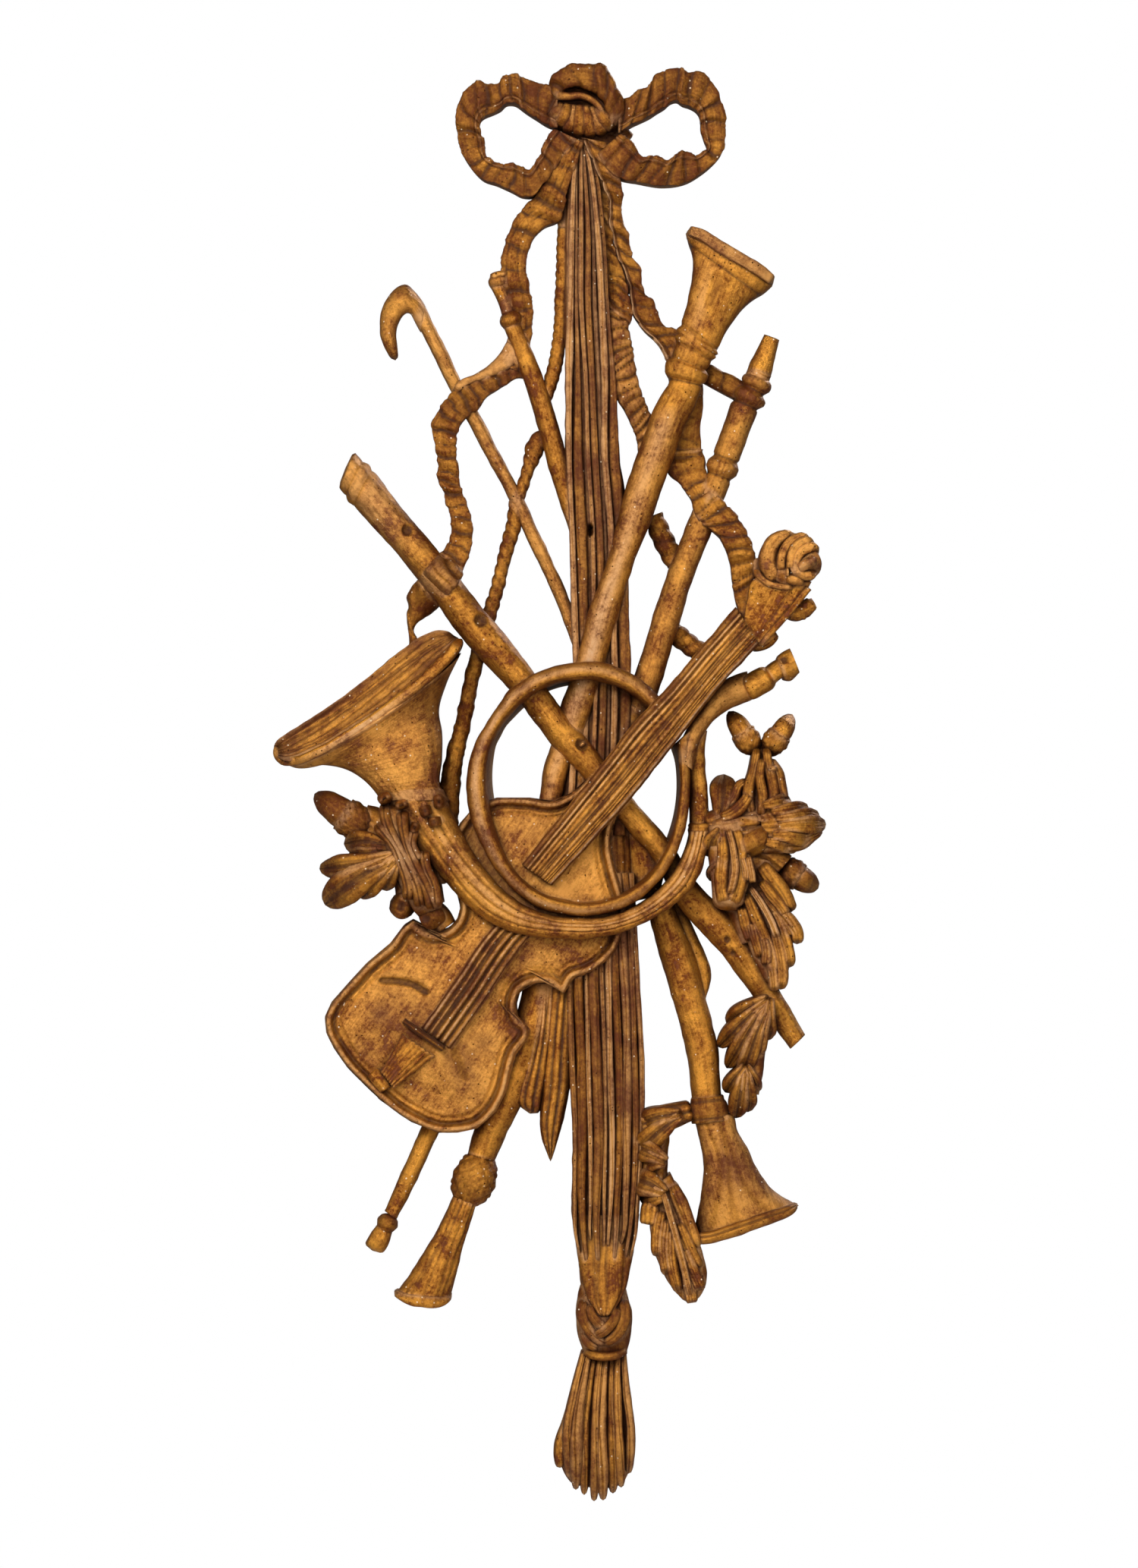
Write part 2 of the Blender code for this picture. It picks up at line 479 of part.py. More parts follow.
def violin():
    """The violin: a beaded, arched body, strings and bridge, fingerboard, pegs and scroll."""
    left, right = violin_outline()
    tail = np.array([501.0, 1447.0])
    head = np.array([811.0, 1030.0])
    run = (head - tail) / np.hypot(*(head - tail))
    side = np.array([-run[1], run[0]])
    n, m = 60, 27
    edges = []
    for points in (left, right):
        t = (points - tail) @ run
        t = np.maximum.accumulate(t + np.arange(len(t)) * 0.01)
        edges.append((t, (points - tail) @ side))
    top = min(edges[0][0][-1], edges[1][0][-1])
    t = top * (0.5 - 0.5 * np.cos(np.linspace(0, math.pi, n)))
    low = np.interp(t, *edges[0])
    high = np.interp(t, *edges[1])
    v = np.sin(np.linspace(-math.pi / 2, math.pi / 2, m))
    w = low[:, None] + (high - low)[:, None] * (v[None, :] + 1) / 2
    plan = tail + run * t[:, None, None] + side * w[..., None]
    rim = np.concatenate([curve(left, 220), curve(right, 220)])
    gap = np.sqrt(((plan[:, :, None, :] - rim[None, None]) ** 2).sum(-1)).min(-1)
    depth = VIOLIN_FRONT + VIOLIN_BEAD * np.exp(-((gap - 5) / 5) ** 2)
    depth = depth + VIOLIN_ARCH * (1 - np.exp(-(np.maximum(gap - 10, 0) / 60) ** 2))
    depth = depth - 0.004 * np.exp(-(gap / 3) ** 2)
    back = np.zeros((n, 1))
    start = place(plan[:, :1], back)
    end = place(plan[:, -1:], back)
    add_rings(np.concatenate([start, place(plan, depth), end], axis=1))
    top = VIOLIN_FRONT + VIOLIN_ARCH
    band([(533, 1360), (505, 1412)], [(578, 1390), (522, 1430)], top * 1.06, crown=0.3)
    band([(556, 1352), (600, 1290), (640, 1232), (668, 1200)], [(596, 1380), (640, 1318), (684, 1252), (712, 1218)],
         top * 1.08, crown=0.3, reeds=4, cut=0.002)
    tube([(533, 1342), (560, 1360), (586, 1380)], 9, top * 1.16, crown=0.8)
    tube([(492, 1410), (510, 1434)], 18, top * 0.98, crown=0.6)
    band([(688, 1138), (787, 1014), (848, 938), (864, 922), (932, 843), (968, 802)],
         [(728, 1166), (835, 1047), (894, 973), (904, 960), (962, 889), (998, 851)],
         [top * 1.15, NECK_FRONT * 0.9, NECK_FRONT, NECK_FRONT], crown=0.35, reeds=5, cut=0.003)
    scroll = SCROLL_FRONT
    band([(966, 800), (986, 788), (1003, 776), (1028, 762)], [(1003, 850), (1024, 828), (1042, 803), (1063, 780)],
         scroll, crown=0.4, groove=0.006)
    tube([(1020, 790), (1002, 765), (1004, 738)], [36, 24, 16], scroll * 0.8)
    knob((1042, 742), 20, 84, 78, scroll * 0.96, crown=0.7)
    knob((1058, 744), 20, 44, 44, scroll * 1.1, crown=0.7)
    tube([(1040, 800), (1058, 803), (1072, 798)], [20, 24, 24], scroll * 0.7, tip=0.3)
    tube([(1000, 842), (1010, 842), (1022, 836)], [16, 20, 20], scroll * 0.7, tip=0.3)


def acorn(cup, tip, width, front):
    """An acorn: a wide cup and the nut standing out of it."""
    cup = np.array(cup, float)
    tip = np.array(tip, float)
    seat = cup + (tip - cup) * 0.42
    tube([tuple(cup - (tip - cup) * 0.12), tuple(cup), tuple(seat)], [width * 0.8, width, width * 1.05],
         front, tail=0.6, crown=0.9)
    tube([tuple(seat), tuple((seat + tip) / 2), tuple(tip)], [width * 0.86, width * 0.9, width * 0.8],
         front * 0.96, tip=0.6, crown=0.9)


def oak():
    """Sprays of oak: leaves, stems, cut stubs and acorns."""
    deep = LEAF_FRONT
    acorn((474, 1090), (417, 1043), 48, ACORN_FRONT)
    tube([(530, 1110), (500, 1088), (470, 1078)], [40, 44, 40], [deep, ACORN_FRONT * 0.8])
    leaf((530, 1126), [(452, 1114), (418, 1148), (419, 1193), (472, 1185), (502, 1175)],
         deep * 1.12, [26, 28, 38, 32, 32])
    tube([(512, 1050), (519, 1090), (531, 1130), (552, 1170), (566, 1212)], [24, 28, 32, 40, 30],
         [HORN_FRONT * 1.1, HORN_FRONT * 1.12, HORN_FRONT * 1.08, HORN_FRONT, deep], tail=0.06,
         tip=0.15, reeds=2)
    knob((511, 1054), 90, 26, 28, HORN_FRONT * 1.14)
    knob((530, 1063), 90, 26, 26, HORN_FRONT * 1.1)
    knob((577, 1061), 0, 28, 22, HORN_FRONT * 1.12)
    tube([(545, 1085), (575, 1078), (590, 1085)], [18, 16, 12], HORN_FRONT * 1.06, tip=0.3)
    knob((531, 1194), 20, 37, 36, deep)
    knob((566, 1206), 90, 46, 34, deep * 0.95)
    tube([(550, 1135), (563, 1160), (572, 1196)], [36, 34, 20], deep * 0.85)
    acorn((992, 990), (961, 937), 40, ACORN_FRONT)
    acorn((1020, 990), (1044, 938), 40, ACORN_FRONT)
    tube([(1005, 984), (1005, 1010), (1006, 1050)], [28, 44, 52], [ACORN_FRONT * 0.9, deep],
         reeds=3)
    tube([(1010, 1000), (1022, 1022), (1018, 1048)], [18, 24, 24], deep * 0.9, tail=0.2)
    tube([(975, 1022), (985, 1045), (990, 1080)], [26, 50, 60], deep * 0.8)
    leaf((950, 1080), [(955, 1018)], deep * 0.9, [36])
    tube([(928, 1092), (950, 1080), (975, 1076)], [34, 36, 40], deep * 0.95, tail=0.2)
    tube([(1004, 1034), (985, 1062), (948, 1070)], [30, 28, 16], deep * 1.05, tip=0.3)
    tube([(1028, 1046), (1010, 1075), (1000, 1110)], [28, 44, 50], deep * 0.95, tail=0.2)
    leaf((1000, 1090), [(1040, 1048), (1074, 1072), (1091, 1086), (1058, 1120)], deep,
         [26, 32, 42, 34])
    leaf((960, 1074), [(936, 1135), (936, 1172), (958, 1199), (984, 1168)], deep * 1.08,
         [34, 30, 44, 34])
    knob((990, 1108), 90, 50, 46, deep * 1.05)
    acorn((1034, 1146), (1079, 1171), 50, ACORN_FRONT)
    leaf((1000, 1120), [(1045, 1205), (1054, 1244), (1045, 1276), (1024, 1309), (995, 1250)],
         deep, [34, 36, 34, 38, 40])
    leaf((985, 1150), [(978, 1232), (1008, 1275)], deep * 0.9, [40, 36])
    leaf((1006, 1314), [(958, 1350), (948, 1382), (968, 1420), (988, 1436), (1012, 1373)],
         deep * 0.85, [24, 28, 38, 36, 24])
    knob((970, 1446), 100, 60, 44, SPRIG_FRONT)
    low = SPRIG_FRONT
    tube([(930, 1462), (880, 1472), (846, 1480)], [30, 36, 34], low * 0.85, reeds=2)
    leaf((900, 1464), [(840, 1482), (838, 1520)], low, [30, 32])
    leaf((880, 1530), [(836, 1510), (842, 1530)], low, [30, 30])
    leaf((880, 1572), [(834, 1552), (842, 1580)], low, [36, 34])
    tube([(866, 1490), (862, 1550), (870, 1600)], [32, 36, 40], low * 0.85, reeds=2)
    leaf((886, 1560), [(858, 1616), (866, 1658), (882, 1688), (896, 1705), (911, 1719), (926, 1705),
                       (926, 1664), (908, 1604)], low, [36, 26, 26, 24, 32, 26, 28, 36])
    band([(812, 1070), (816, 1120), (826, 1190)], [(832, 1050), (878, 1120), (870, 1180)],
         PIPE_FRONT * 0.8)


def gather():
    """All the shells joined into one mesh object."""
    verts = []
    faces = []
    base = 0
    for points, polygons in shells:
        verts.append(points)
        faces.extend([[base + k for k in polygon] for polygon in polygons])
        base += len(points)
    mesh = bpy.data.meshes.new("overlapping_shells")
    mesh.from_pydata(np.concatenate(verts).tolist(), [], faces)
    tidy = bmesh.new()
    tidy.from_mesh(mesh)
    bmesh.ops.recalc_face_normals(tidy, faces=tidy.faces)
    tidy.to_mesh(mesh)
    tidy.free()
    body = bpy.data.objects.new("musical_trophy", mesh)
    bpy.context.scene.collection.objects.link(body)
    return body


def linked(seed):
    """Every vertex that edges join to the seed."""
    found = {seed}
    rim = [seed]
    while rim:
        vert = rim.pop()
        for edge in vert.link_edges:
            other = edge.other_vert(vert)
            if other not in found:
                found.add(other)
                rim.append(other)
    return found


def fuse(body):
    """Joins the overlapping shells into one facetted skin and planes its back flat."""
    skin = body.modifiers.new("fuse", "REMESH")
    skin.mode = "VOXEL"
    skin.voxel_size = VOXEL
    facet = body.modifiers.new("facet", "DECIMATE")
    facet.ratio = KEEP
    graph = bpy.context.evaluated_depsgraph_get()
    mesh = bpy.data.meshes.new_from_object(body.evaluated_get(graph))
    mesh.name = "musical_trophy"
    body.modifiers.clear()
    body.data = mesh
    work = bmesh.new()
    work.from_mesh(mesh)
    for vert in work.verts:
        if vert.co.y > -PLANED_OFF:
            vert.co.y = 0.0
    bmesh.ops.dissolve_degenerate(work, dist=0.00002, edges=work.edges)
    bmesh.ops.triangulate(work, faces=work.faces)
    keep = linked(max(work.verts, key=lambda vert: vert.co.z))
    bmesh.ops.delete(work, geom=[v for v in work.verts if v not in keep], context="VERTS")
    work.to_mesh(mesh)
    work.free()


def cut_nail_hole(body):
    """Takes out the small upright hole that the carving hangs by."""
    x = (779 - PATTERN_ORIGIN[0]) * UNIT
    z = (PATTERN_ORIGIN[1] - 699) * UNIT
    mesh = bpy.data.meshes.new("nail_hole")
    work = bmesh.new()
    bmesh.ops.create_cube(work, size=1.0)
    for vert in work.verts:
        vert.co.x = x + vert.co.x * NAIL_WIDTH
        vert.co.y = vert.co.y * 0.3
        vert.co.z = z + vert.co.z * NAIL_HEIGHT
    work.to_mesh(mesh)
    work.free()
    tool = bpy.data.objects.new("nail_hole", mesh)
    tool.hide_render = True
    tool.display_type = "WIRE"
    bpy.context.scene.collection.objects.link(tool)
    hole = body.modifiers.new("nail_hole", "BOOLEAN")
    hole.operation = "DIFFERENCE"
    hole.solver = "EXACT"
    hole.object = tool


def gilding():
    """The one finish: aged water gilding on carved wood."""
    paint = bpy.data.materials.new("gilt_wood")
    paint.use_nodes = True
    shader = paint.node_tree.nodes["Principled BSDF"]
    shader.inputs["Base Color"].default_value = (0.33, 0.15, 0.04, 1.0)
    shader.inputs["Metallic"].default_value = 0.6
    shader.inputs["Roughness"].default_value = 0.45
    return paint


def main():
    for old in list(bpy.data.objects):
        bpy.data.objects.remove(old, do_unlink=True)
    for carving in (bow, ribbons, cords, crook, oboe, trumpet, right_pipe, stick, flute, sheaf,
                    drapery, knot_and_tassel, horn, violin, oak):
        carving()
    body = gather()
    fuse(body)
    body.data.materials.clear()
    body.data.materials.append(gilding())
    cut_nail_hole(body)


main()
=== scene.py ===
"""Dresses the giltwood trophy: carved surfaces at full detail, aged gilding, light and camera.

Shapes are laid out on the carver's pattern, x to the right and y downwards, and brought to
metres by UNIT. Fronts face -Y and the sawn back lies on y = 0. Every skin of carving is a grid:
stations along a path by points round a profile, pushed in or out by the tool work on it.

UP_A_SIDE gives the heights of a side's points as shares of its edge, BROAD_LUMP and SMALL_LUMP
the lengths of the hand cut unevenness, FULL_CUT the depth painted as a full hollow, THIN_STRIP
the half width below which tool work fades, FINE the usual distance between stations on the
pattern, NAIL_DEPTH the share of the carving that a nail hole goes through, BACK_STEP how far
each back lies from the next, and PAGE the width and height of the pattern.
"""
import math

import bpy
import numpy as np
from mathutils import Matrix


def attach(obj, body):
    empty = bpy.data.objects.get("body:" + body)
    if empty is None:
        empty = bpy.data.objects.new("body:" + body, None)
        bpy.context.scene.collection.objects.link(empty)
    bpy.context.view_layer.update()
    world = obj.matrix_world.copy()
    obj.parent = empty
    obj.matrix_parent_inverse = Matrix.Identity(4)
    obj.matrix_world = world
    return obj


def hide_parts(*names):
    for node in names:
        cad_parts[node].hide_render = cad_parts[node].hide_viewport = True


bl_info = {"name": "Giltwood musical trophy", "version": (1, 0, 0), "blender": (4, 5, 0),
    "location": "View3D > Sidebar > Gilt Trophy",
    "description": "Carved and gilded wall trophy of musical instruments", "category": "Object",}

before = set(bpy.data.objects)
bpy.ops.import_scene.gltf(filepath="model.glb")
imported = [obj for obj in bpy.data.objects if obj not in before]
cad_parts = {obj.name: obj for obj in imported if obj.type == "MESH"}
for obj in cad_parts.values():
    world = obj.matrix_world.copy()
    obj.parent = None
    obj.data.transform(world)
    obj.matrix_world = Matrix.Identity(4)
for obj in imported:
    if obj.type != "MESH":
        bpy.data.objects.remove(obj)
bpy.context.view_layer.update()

UNIT = 1.23 / 1893.0
ORIGIN = (785.0, 735.0)
PAGE = (1500.0, 2066.0)
FINE = 2.8
NODE = "musical_trophy"
UP_A_SIDE = np.array([0.0, 0.06, 0.35, 0.7, 0.92])
BROAD_LUMP = 0.026
SMALL_LUMP = 0.011
FULL_CUT = 0.0022
THIN_STRIP = 0.006
NAIL_DEPTH = 0.8
BACK_STEP = 5e-6
CAMERA_AWAY = 6.0
FLOOR_Z = -1.45


def linear(code):
    """sRGB hex to linear red, green and blue."""
    value = np.array([int(code[k:k + 2], 16) for k in (1, 3, 5)]) / 255.0
    return tuple(np.where(value <= 0.04045, value / 12.92, ((value + 0.055) / 1.055) ** 2.4).tolist())


def length(label, default, note):
    """A length property in metres."""
    return bpy.props.FloatProperty(name=label, description=note, default=default, min=0.0, unit="LENGTH")


def colour(label, code, note):
    """A colour property from its sRGB hex code."""
    return bpy.props.FloatVectorProperty(name=label, description=note, default=linear(code), size=3,
        subtype="COLOR", min=0.0, max=1.0)


class TrophySizes(bpy.types.PropertyGroup):
    """Projections from the wall and depths of cut."""
    bow: length("Bow", 0.050, "Projection of the bow loops")
    hood: length("Hood", 0.060, "Projection of the fold over the knot")
    ribbon: length("Ribbon", 0.028, "Projection of the ribbon tails")
    cord: length("Cord", 0.022, "Projection of the twisted cords")
    crook: length("Crook", 0.034, "Projection of the crook's head")
    staff: length("Staff", 0.022, "Projection of the crook's staff")
    sheaf: length("Sheaf", 0.046, "Projection of the reeded sheaf")
    oboe: length("Oboe", 0.034, "Projection of the oboe")
    oboe_bell: length("Oboe bell", 0.050, "Projection of the oboe's bell")
    trumpet: length("Trumpet", 0.058, "Projection of the trumpet's tube")
    trumpet_bell: length("Trumpet bell", 0.068, "Projection of the trumpet's bell")
    pipe: length("Pipe", 0.040, "Projection of the long pipe")
    cone: length("Pine cone", 0.050, "Projection of the pine cone knop")
    flute: length("Flute", 0.058, "Projection of the flute")
    violin: length("Violin", 0.054, "Projection of the violin's rim")
    neck: length("Neck", 0.088, "Projection of the fingerboard")
    scroll: length("Scroll", 0.080, "Projection of the scroll")
    ring: length("Horn ring", 0.078, "Projection of the coiled tube")
    horn: length("Horn", 0.080, "Projection of the outer tube")
    lip: length("Horn lip", 0.088, "Projection of the bell's lip")
    leaf: length("Oak leaf", 0.074, "Projection of the oak leaves")
    acorn: length("Acorn", 0.056, "Projection of the acorns")
    sprig: length("Sprig", 0.060, "Projection of the lower sprig")
    drape: length("Drapery", 0.040, "Projection of the hanging cloth")
    knot: length("Knot", 0.056, "Projection of the plaited knot")
    tassel: length("Tassel", 0.050, "Projection of the tassel")
    reed_cut: length("Reed cut", 0.0042, "Depth of the grooves between reeds")
    pleat_cut: length("Pleat cut", 0.0018, "Depth of the puckers across a ribbon")
    strand_cut: length("Strand cut", 0.0022, "Depth of the spiral grooves of a cord")
    vein_cut: length("Vein cut", 0.0032, "Depth of the vein down a leaf")
    lump: length("Unevenness", 0.0005, "Height of the hand cut unevenness")
    arch: length("Violin arch", 0.0080, "Rise of the violin's belly over its rim")
    bead: length("Violin bead", 0.0036, "Raised edge of the violin")
    wall: length("Bell wall", 0.0060, "Thickness of the horn's lip")


class TrophyFinish(bpy.types.PropertyGroup):
    """Colours of the aged gilding, the wood and the stage."""
    gold: colour("Gold", "#E6A545", "Sound gold leaf")
    toned: colour("Toned gold", "#7C4214", "Gold leaf under a film of old size")
    # Also the darker sides of every form, which are partly painted shade.
    size_brown_and_side_shade: colour("Brown size", "#5C2C0D", "Size left thick on the sides, and painted shade there")
    bole: colour("Bole", "#7A442A", "Red clay where the leaf is rubbed")
    gesso: colour("Worn crest", "#CDA680", "Gesso and clay worn bare on the ridges")
    # Also the painted shade in hollows, cuts and corners, mixed with the dust; pinholes use it too.
    dust_and_shade_umber: colour("Old dust and painted shade", "#3C1C08", "Wax, dust and painted shade in the hollows")
    fleck: colour("Fleck", "#E8DAC0", "Tiny chips down to white gesso")
    timber: colour("Timber", "#AE8A60", "Bare limewood of the back")
    timber_dark: colour("Timber grain", "#7C5C3C", "Darker lines of the limewood")
    floor: colour("Floor", "#F4F2EE", "Pale studio floor")
    floor_dark: colour("Floor mottle", "#E9E6E0", "Faint mottle of the floor")


sizes = None
finish = None
laid = 0


def curve(points, along):
    """Smooth curve through points, read at shares 0..1 of its length: Hermite spans whose
    slopes are the central differences over the distance travelled."""
    p = np.array(points, float)
    d = np.r_[0.0, np.cumsum(np.hypot(*np.diff(p[:, :2], axis=0).T))]
    return hermite(p, d, along * d[-1])


def hermite(p, d, t):
    """Values at t of the smooth curve through p at distances d."""
    if len(p) < 3:
        return np.stack([np.interp(t, d, column) for column in p.T], axis=1)
    slope = np.gradient(p, d, axis=0)
    i = np.clip(np.searchsorted(d, t) - 1, 0, len(d) - 2)
    h = (d[i + 1] - d[i])[:, None]
    s = (t - d[i])[:, None] / h
    return ((2 * s ** 3 - 3 * s ** 2 + 1) * p[i] + (s ** 3 - 2 * s ** 2 + s) * h * slope[i]
        + (3 * s ** 2 - 2 * s ** 3) * p[i + 1] + (s ** 3 - s ** 2) * h * slope[i + 1])


def spread(value, count):
    """One value, or several spaced evenly along a path, as one number per station."""
    v = np.atleast_1d(np.array(value, float))
    if len(v) == 1:
        return np.full(count, v[0])
    knots = np.linspace(0, 1, len(v))
    return hermite(v[:, None], knots, np.linspace(0, 1, count))[:, 0]


def ease(count, tail, tip):
    """Shrinking factor that rounds off the two ends over the given shares of the length:
    the height of a quarter circle."""
    t = np.linspace(0, 1, count)
    e = np.ones(count)
    if tail > 0:
        e *= np.sqrt(np.clip(1 - np.clip(1 - t / tail, 0, 1) ** 2, 0.0016, 1))
    if tip > 0:
        e *= np.sqrt(np.clip(1 - np.clip(1 - (1 - t) / tip, 0, 1) ** 2, 0.0016, 1))
    return e


def place(plan, depth):
    """Pattern positions and projections turned into points in space."""
    x = (plan[..., 0] - ORIGIN[0]) * UNIT
    z = (ORIGIN[1] - plan[..., 1]) * UNIT
    return np.stack([x, -depth + 0 * x, z], axis=-1)


def uneven(points, size, seed=0):
    """Soft unevenness in -1..1: a sum of seven plane waves of about one wavelength."""
    total = np.zeros(points.shape[:-1])
    for k in range(7):
        a = 2.39996 * (k + seed)
        b = math.acos(1 - 2 * ((k + 0.5) / 7))
        way = np.array([math.sin(b) * math.cos(a), math.sin(b) * math.sin(a), math.cos(b)])
        total += np.sin(points @ way * 2 * math.pi / (size * (0.8 + 0.07 * k)) + 1.7 * k + seed)
    return total / 4.0


def reeded(count, cut=None, wander=0.0, sharp=0.6):
    """Round reeds side by side: depth of cut times one less the lobed sine across."""
    def work(at):
        c = at["c"] + wander * np.sin(at["s"] / 61.0 + 2 * at["c"]) * (1 - at["c"] ** 2)
        wave = np.abs(np.sin(math.pi * count * (c + 1) / 2)) ** sharp
        return -(cut or sizes.reed_cut) * (1 - wave) * at["rise"] ** 0.4
    return work


def grooved(places, cut, width=0.06, wander=0.0):
    """Narrow channels along the path at the given places across: bell shaped cuts."""
    def work(at):
        total = np.zeros_like(at["c"])
        for k, spot in enumerate(places):
            drift = wander * np.sin(at["s"] / (37.0 + 9 * k) + 1.9 * k)
            total -= cut * np.exp(-((at["c"] - spot - drift) / width) ** 2)
        return total
    return work


def beaded(spot, height, width=0.1):
    """A raised line along the path at one place across."""
    def work(at):
        return height * np.exp(-((at["c"] - spot) / width) ** 2)
    return work


def puckered(pitch, cut=None, slant=0.2, seed=0.0, swell=0.0020, thin=1.5):
    """Gathers across a ribbon: flat panels between fold lines at uneven steps, high and low in
    turn, with a narrow crease cut along each low fold. The height is linear from fold to fold
    and the crease is bell shaped."""
    def work(at):
        k = np.arange(-3, int(at["s"].max() / pitch) + 5)
        spot = pitch * (k + 0.30 * np.sin(2.7 * k + seed) + 0.13 * np.sin(5.1 * k + 2 * seed))
        side = np.where(k % 2 == 0, 1.0, -1.0)
        high = swell * (0.75 * side + 0.35 * np.sin(4.3 * k + seed))
        lean = slant + 0.2 * np.sin(at["s"] / (1.9 * pitch) + seed)
        q = at["s"] - lean * at["c"] * at["w"] - 1.3 * np.sin(3.1 * at["c"] + at["s"] / pitch)
        fold = np.interp(q, spot, high)
        low = spot[side < 0]
        near = np.clip(np.searchsorted(low, q), 1, len(low) - 1)
        away = np.minimum(np.abs(q - low[near - 1]), np.abs(q - low[near]))
        deep = 0.6 + 0.4 * np.sin(low[near] * 0.61 + seed)
        fold = fold - (cut or sizes.pleat_cut) * deep * np.exp(-(away / thin) ** 2)
        return fold * (0.3 + 0.7 * at["rise"] ** 0.6)
    return work


def brushed(pitch, cut):
    """Fine uneven lines across the path: two sines of the distance along, multiplied."""
    def work(at):
        q = at["s"]
        return cut * np.sin(2 * math.pi * q / pitch + 2 * np.sin(q / 23)) * np.sin(q / (2.3 * pitch)
            + at["c"])
    return work


def drilled(spots, cut):
    """Round holes at pattern points (x, y, radius): steep sided cups."""
    def work(at):
        x = at["p"][..., 0] / UNIT + ORIGIN[0]
        y = ORIGIN[1] - at["p"][..., 2] / UNIT
        total = np.zeros_like(x)
        for spot in spots:
            gap = np.hypot(x - spot[0], y - spot[1])
            total -= cut * np.exp(-(gap / spot[2]) ** 4) * (at["rise"] > 0.2)
        return total
    return work


def twisted(pitch, turn=0.9, cut=None):
    """Strands of a cord: a lobed sine whose phase runs along and round, so it spirals."""
    def work(at):
        q = at["s"] / pitch + turn * np.arcsin(np.clip(at["c"], -1, 1)) / math.pi
        return (cut or sizes.strand_cut) * (np.abs(np.sin(math.pi * q)) ** 0.55 - 0.8)
    return work


def ringed(places, height, width):
    """Raised rings or cut lines across the path, at distances along it in pattern units."""
    def work(at):
        total = np.zeros_like(at["s"])
        for spot in places:
            total += height * np.exp(-((at["s"] - spot) / width) ** 2)
        return total
    return work


def hatched(pitch, cut):
    """Crossed diagonal cuts that leave small lozenges."""
    def work(at):
        u = (at["s"] + at["c"] * at["w"]) / pitch
        v = (at["s"] - at["c"] * at["w"]) / pitch
        one = np.abs(np.sin(math.pi * u)) ** 0.5
        two = np.abs(np.sin(math.pi * v)) ** 0.5
        return cut * (np.minimum(one, two) - 0.7)
    return work


def carve(mid, half, front, crown=1.0, draft=(-0.08, -0.08), across=22, work=(), worn=0.0, toned=0.0,
        flat=1.0, tilt=0.0, nail=()):
    """One skin: flat back, sides, and a rounded front.

    mid and half give the middle and half width of each station on the pattern. The front is
    half an ellipse whose height is crown times the half width. draft slopes a side: above 0
    the front is narrower than the base, below 0 it overhangs. flat below 1 squares the ellipse.
    tilt raises one edge and lowers the other.
    work is the list of tool patterns; each gives how far the surface is pushed along its
    normal, from the distance along (s), the place across (c), the rounding (rise), the half
    width (w) and the point in space (p). nail lists holes (x, y, radius) driven straight back.
    """
    n = len(mid)
    front = spread(front, n)[:, None]
    run = np.r_[0.0, np.cumsum(np.hypot(*np.diff(mid, axis=0).T))][:, None]
    w = np.hypot(half[:, 0], half[:, 1])[:, None]
    rise = np.minimum(spread(crown, n)[:, None] * w * UNIT, 0.85 * front)
    angle = np.linspace(math.pi, 0, across)
    c = np.cos(angle)
    s = np.sin(angle)
    up = UP_A_SIDE
    arc = np.where(c < 0, 1 - max(draft[0], 0), 1 - max(draft[1], 0)) * c
    sides = [1 + min(draft[0], 0) + (max(-draft[0], 0) - max(draft[0], 0)) * up ** 0.6,
        1 + min(draft[1], 0) + (max(-draft[1], 0) - max(draft[1], 0)) * up ** 0.6]
    sides[0][0] -= 0.03
    sides[1][0] -= 0.03
    lateral = np.r_[-sides[0], arc, sides[1][::-1]][None, :]
    edge = front - rise
    depth = np.concatenate([up * (edge - tilt), edge + rise * s ** flat + tilt * c,
        up[::-1] * (edge + tilt)], axis=1)
    plan = mid[:, None, :] + half[:, None, :] * lateral[..., None]
    points = place(plan, depth)
    m = lateral.shape[1]
    cc = np.broadcast_to(np.r_[-np.ones(len(up)), c, np.ones(len(up))], (n, m))
    ss = np.broadcast_to(np.r_[np.zeros(len(up)), s, np.zeros(len(up))], (n, m))
    hold = np.broadcast_to(np.r_[up, np.ones(across), up[::-1]], (n, m))
    along = np.gradient(points, axis=0)
    around = np.gradient(points, axis=1)
    normal = np.cross(around, along)
    normal /= np.maximum(np.linalg.norm(normal, axis=-1, keepdims=True), 1e-12)
    facing = normal[:, m // 2, 1].mean() < 0
    if not facing:
        normal = -normal
    at = {"s": run + 0 * cc, "c": cc, "rise": ss, "w": w + 0 * cc, "p": points}
    push = np.zeros((n, m))
    for pattern in work:
        push = push + pattern(at)
    tooled = push * hold
    push = tooled + sizes.lump * hold * (uneven(points, BROAD_LUMP) + 0.5 * uneven(points, SMALL_LUMP, 3))
    room = np.minimum(1.0, w * UNIT / THIN_STRIP)
    points = points + normal * (push * room)[..., None]
    bored = np.zeros((n, m))
    for x, y, radius in nail:
        gap = np.hypot(plan[..., 0] - x, plan[..., 1] - y)
        bored = np.maximum(bored, np.exp(-(gap / radius) ** 4))
    points[..., 1] *= 1 - NAIL_DEPTH * bored
    points[..., 1] = np.minimum(points[..., 1], 0.0)
    t = np.linspace(0, 1, n)[:, None]
    # level is how deep the tool cut, lowest in nail holes; the shader darkens low levels with dust and
    # painted shade.
    level = np.clip(tooled / FULL_CUT - 2 * bored, -1, 1)
    brown = toned(t, cc) if callable(toned) else toned
    # The second channel adds brown where the profile turns to the sides: size left there and painted shade
    # on the sides facing away.
    paint = np.stack([np.broadcast_to(worn(t, cc) if callable(worn) else worn, (n, m)),
        np.broadcast_to(brown + 0.85 * (1 - ss) ** 1.1, (n, m)), level * 0.5 + 0.5,
        np.clip(1 - hold, 0, 1)], axis=-1)
    flow = np.stack([at["s"] * UNIT, cc * w * UNIT, np.full((n, m), mid[0, 0] * 0.01)], axis=-1)
    return shell(points, paint, facing, flow)


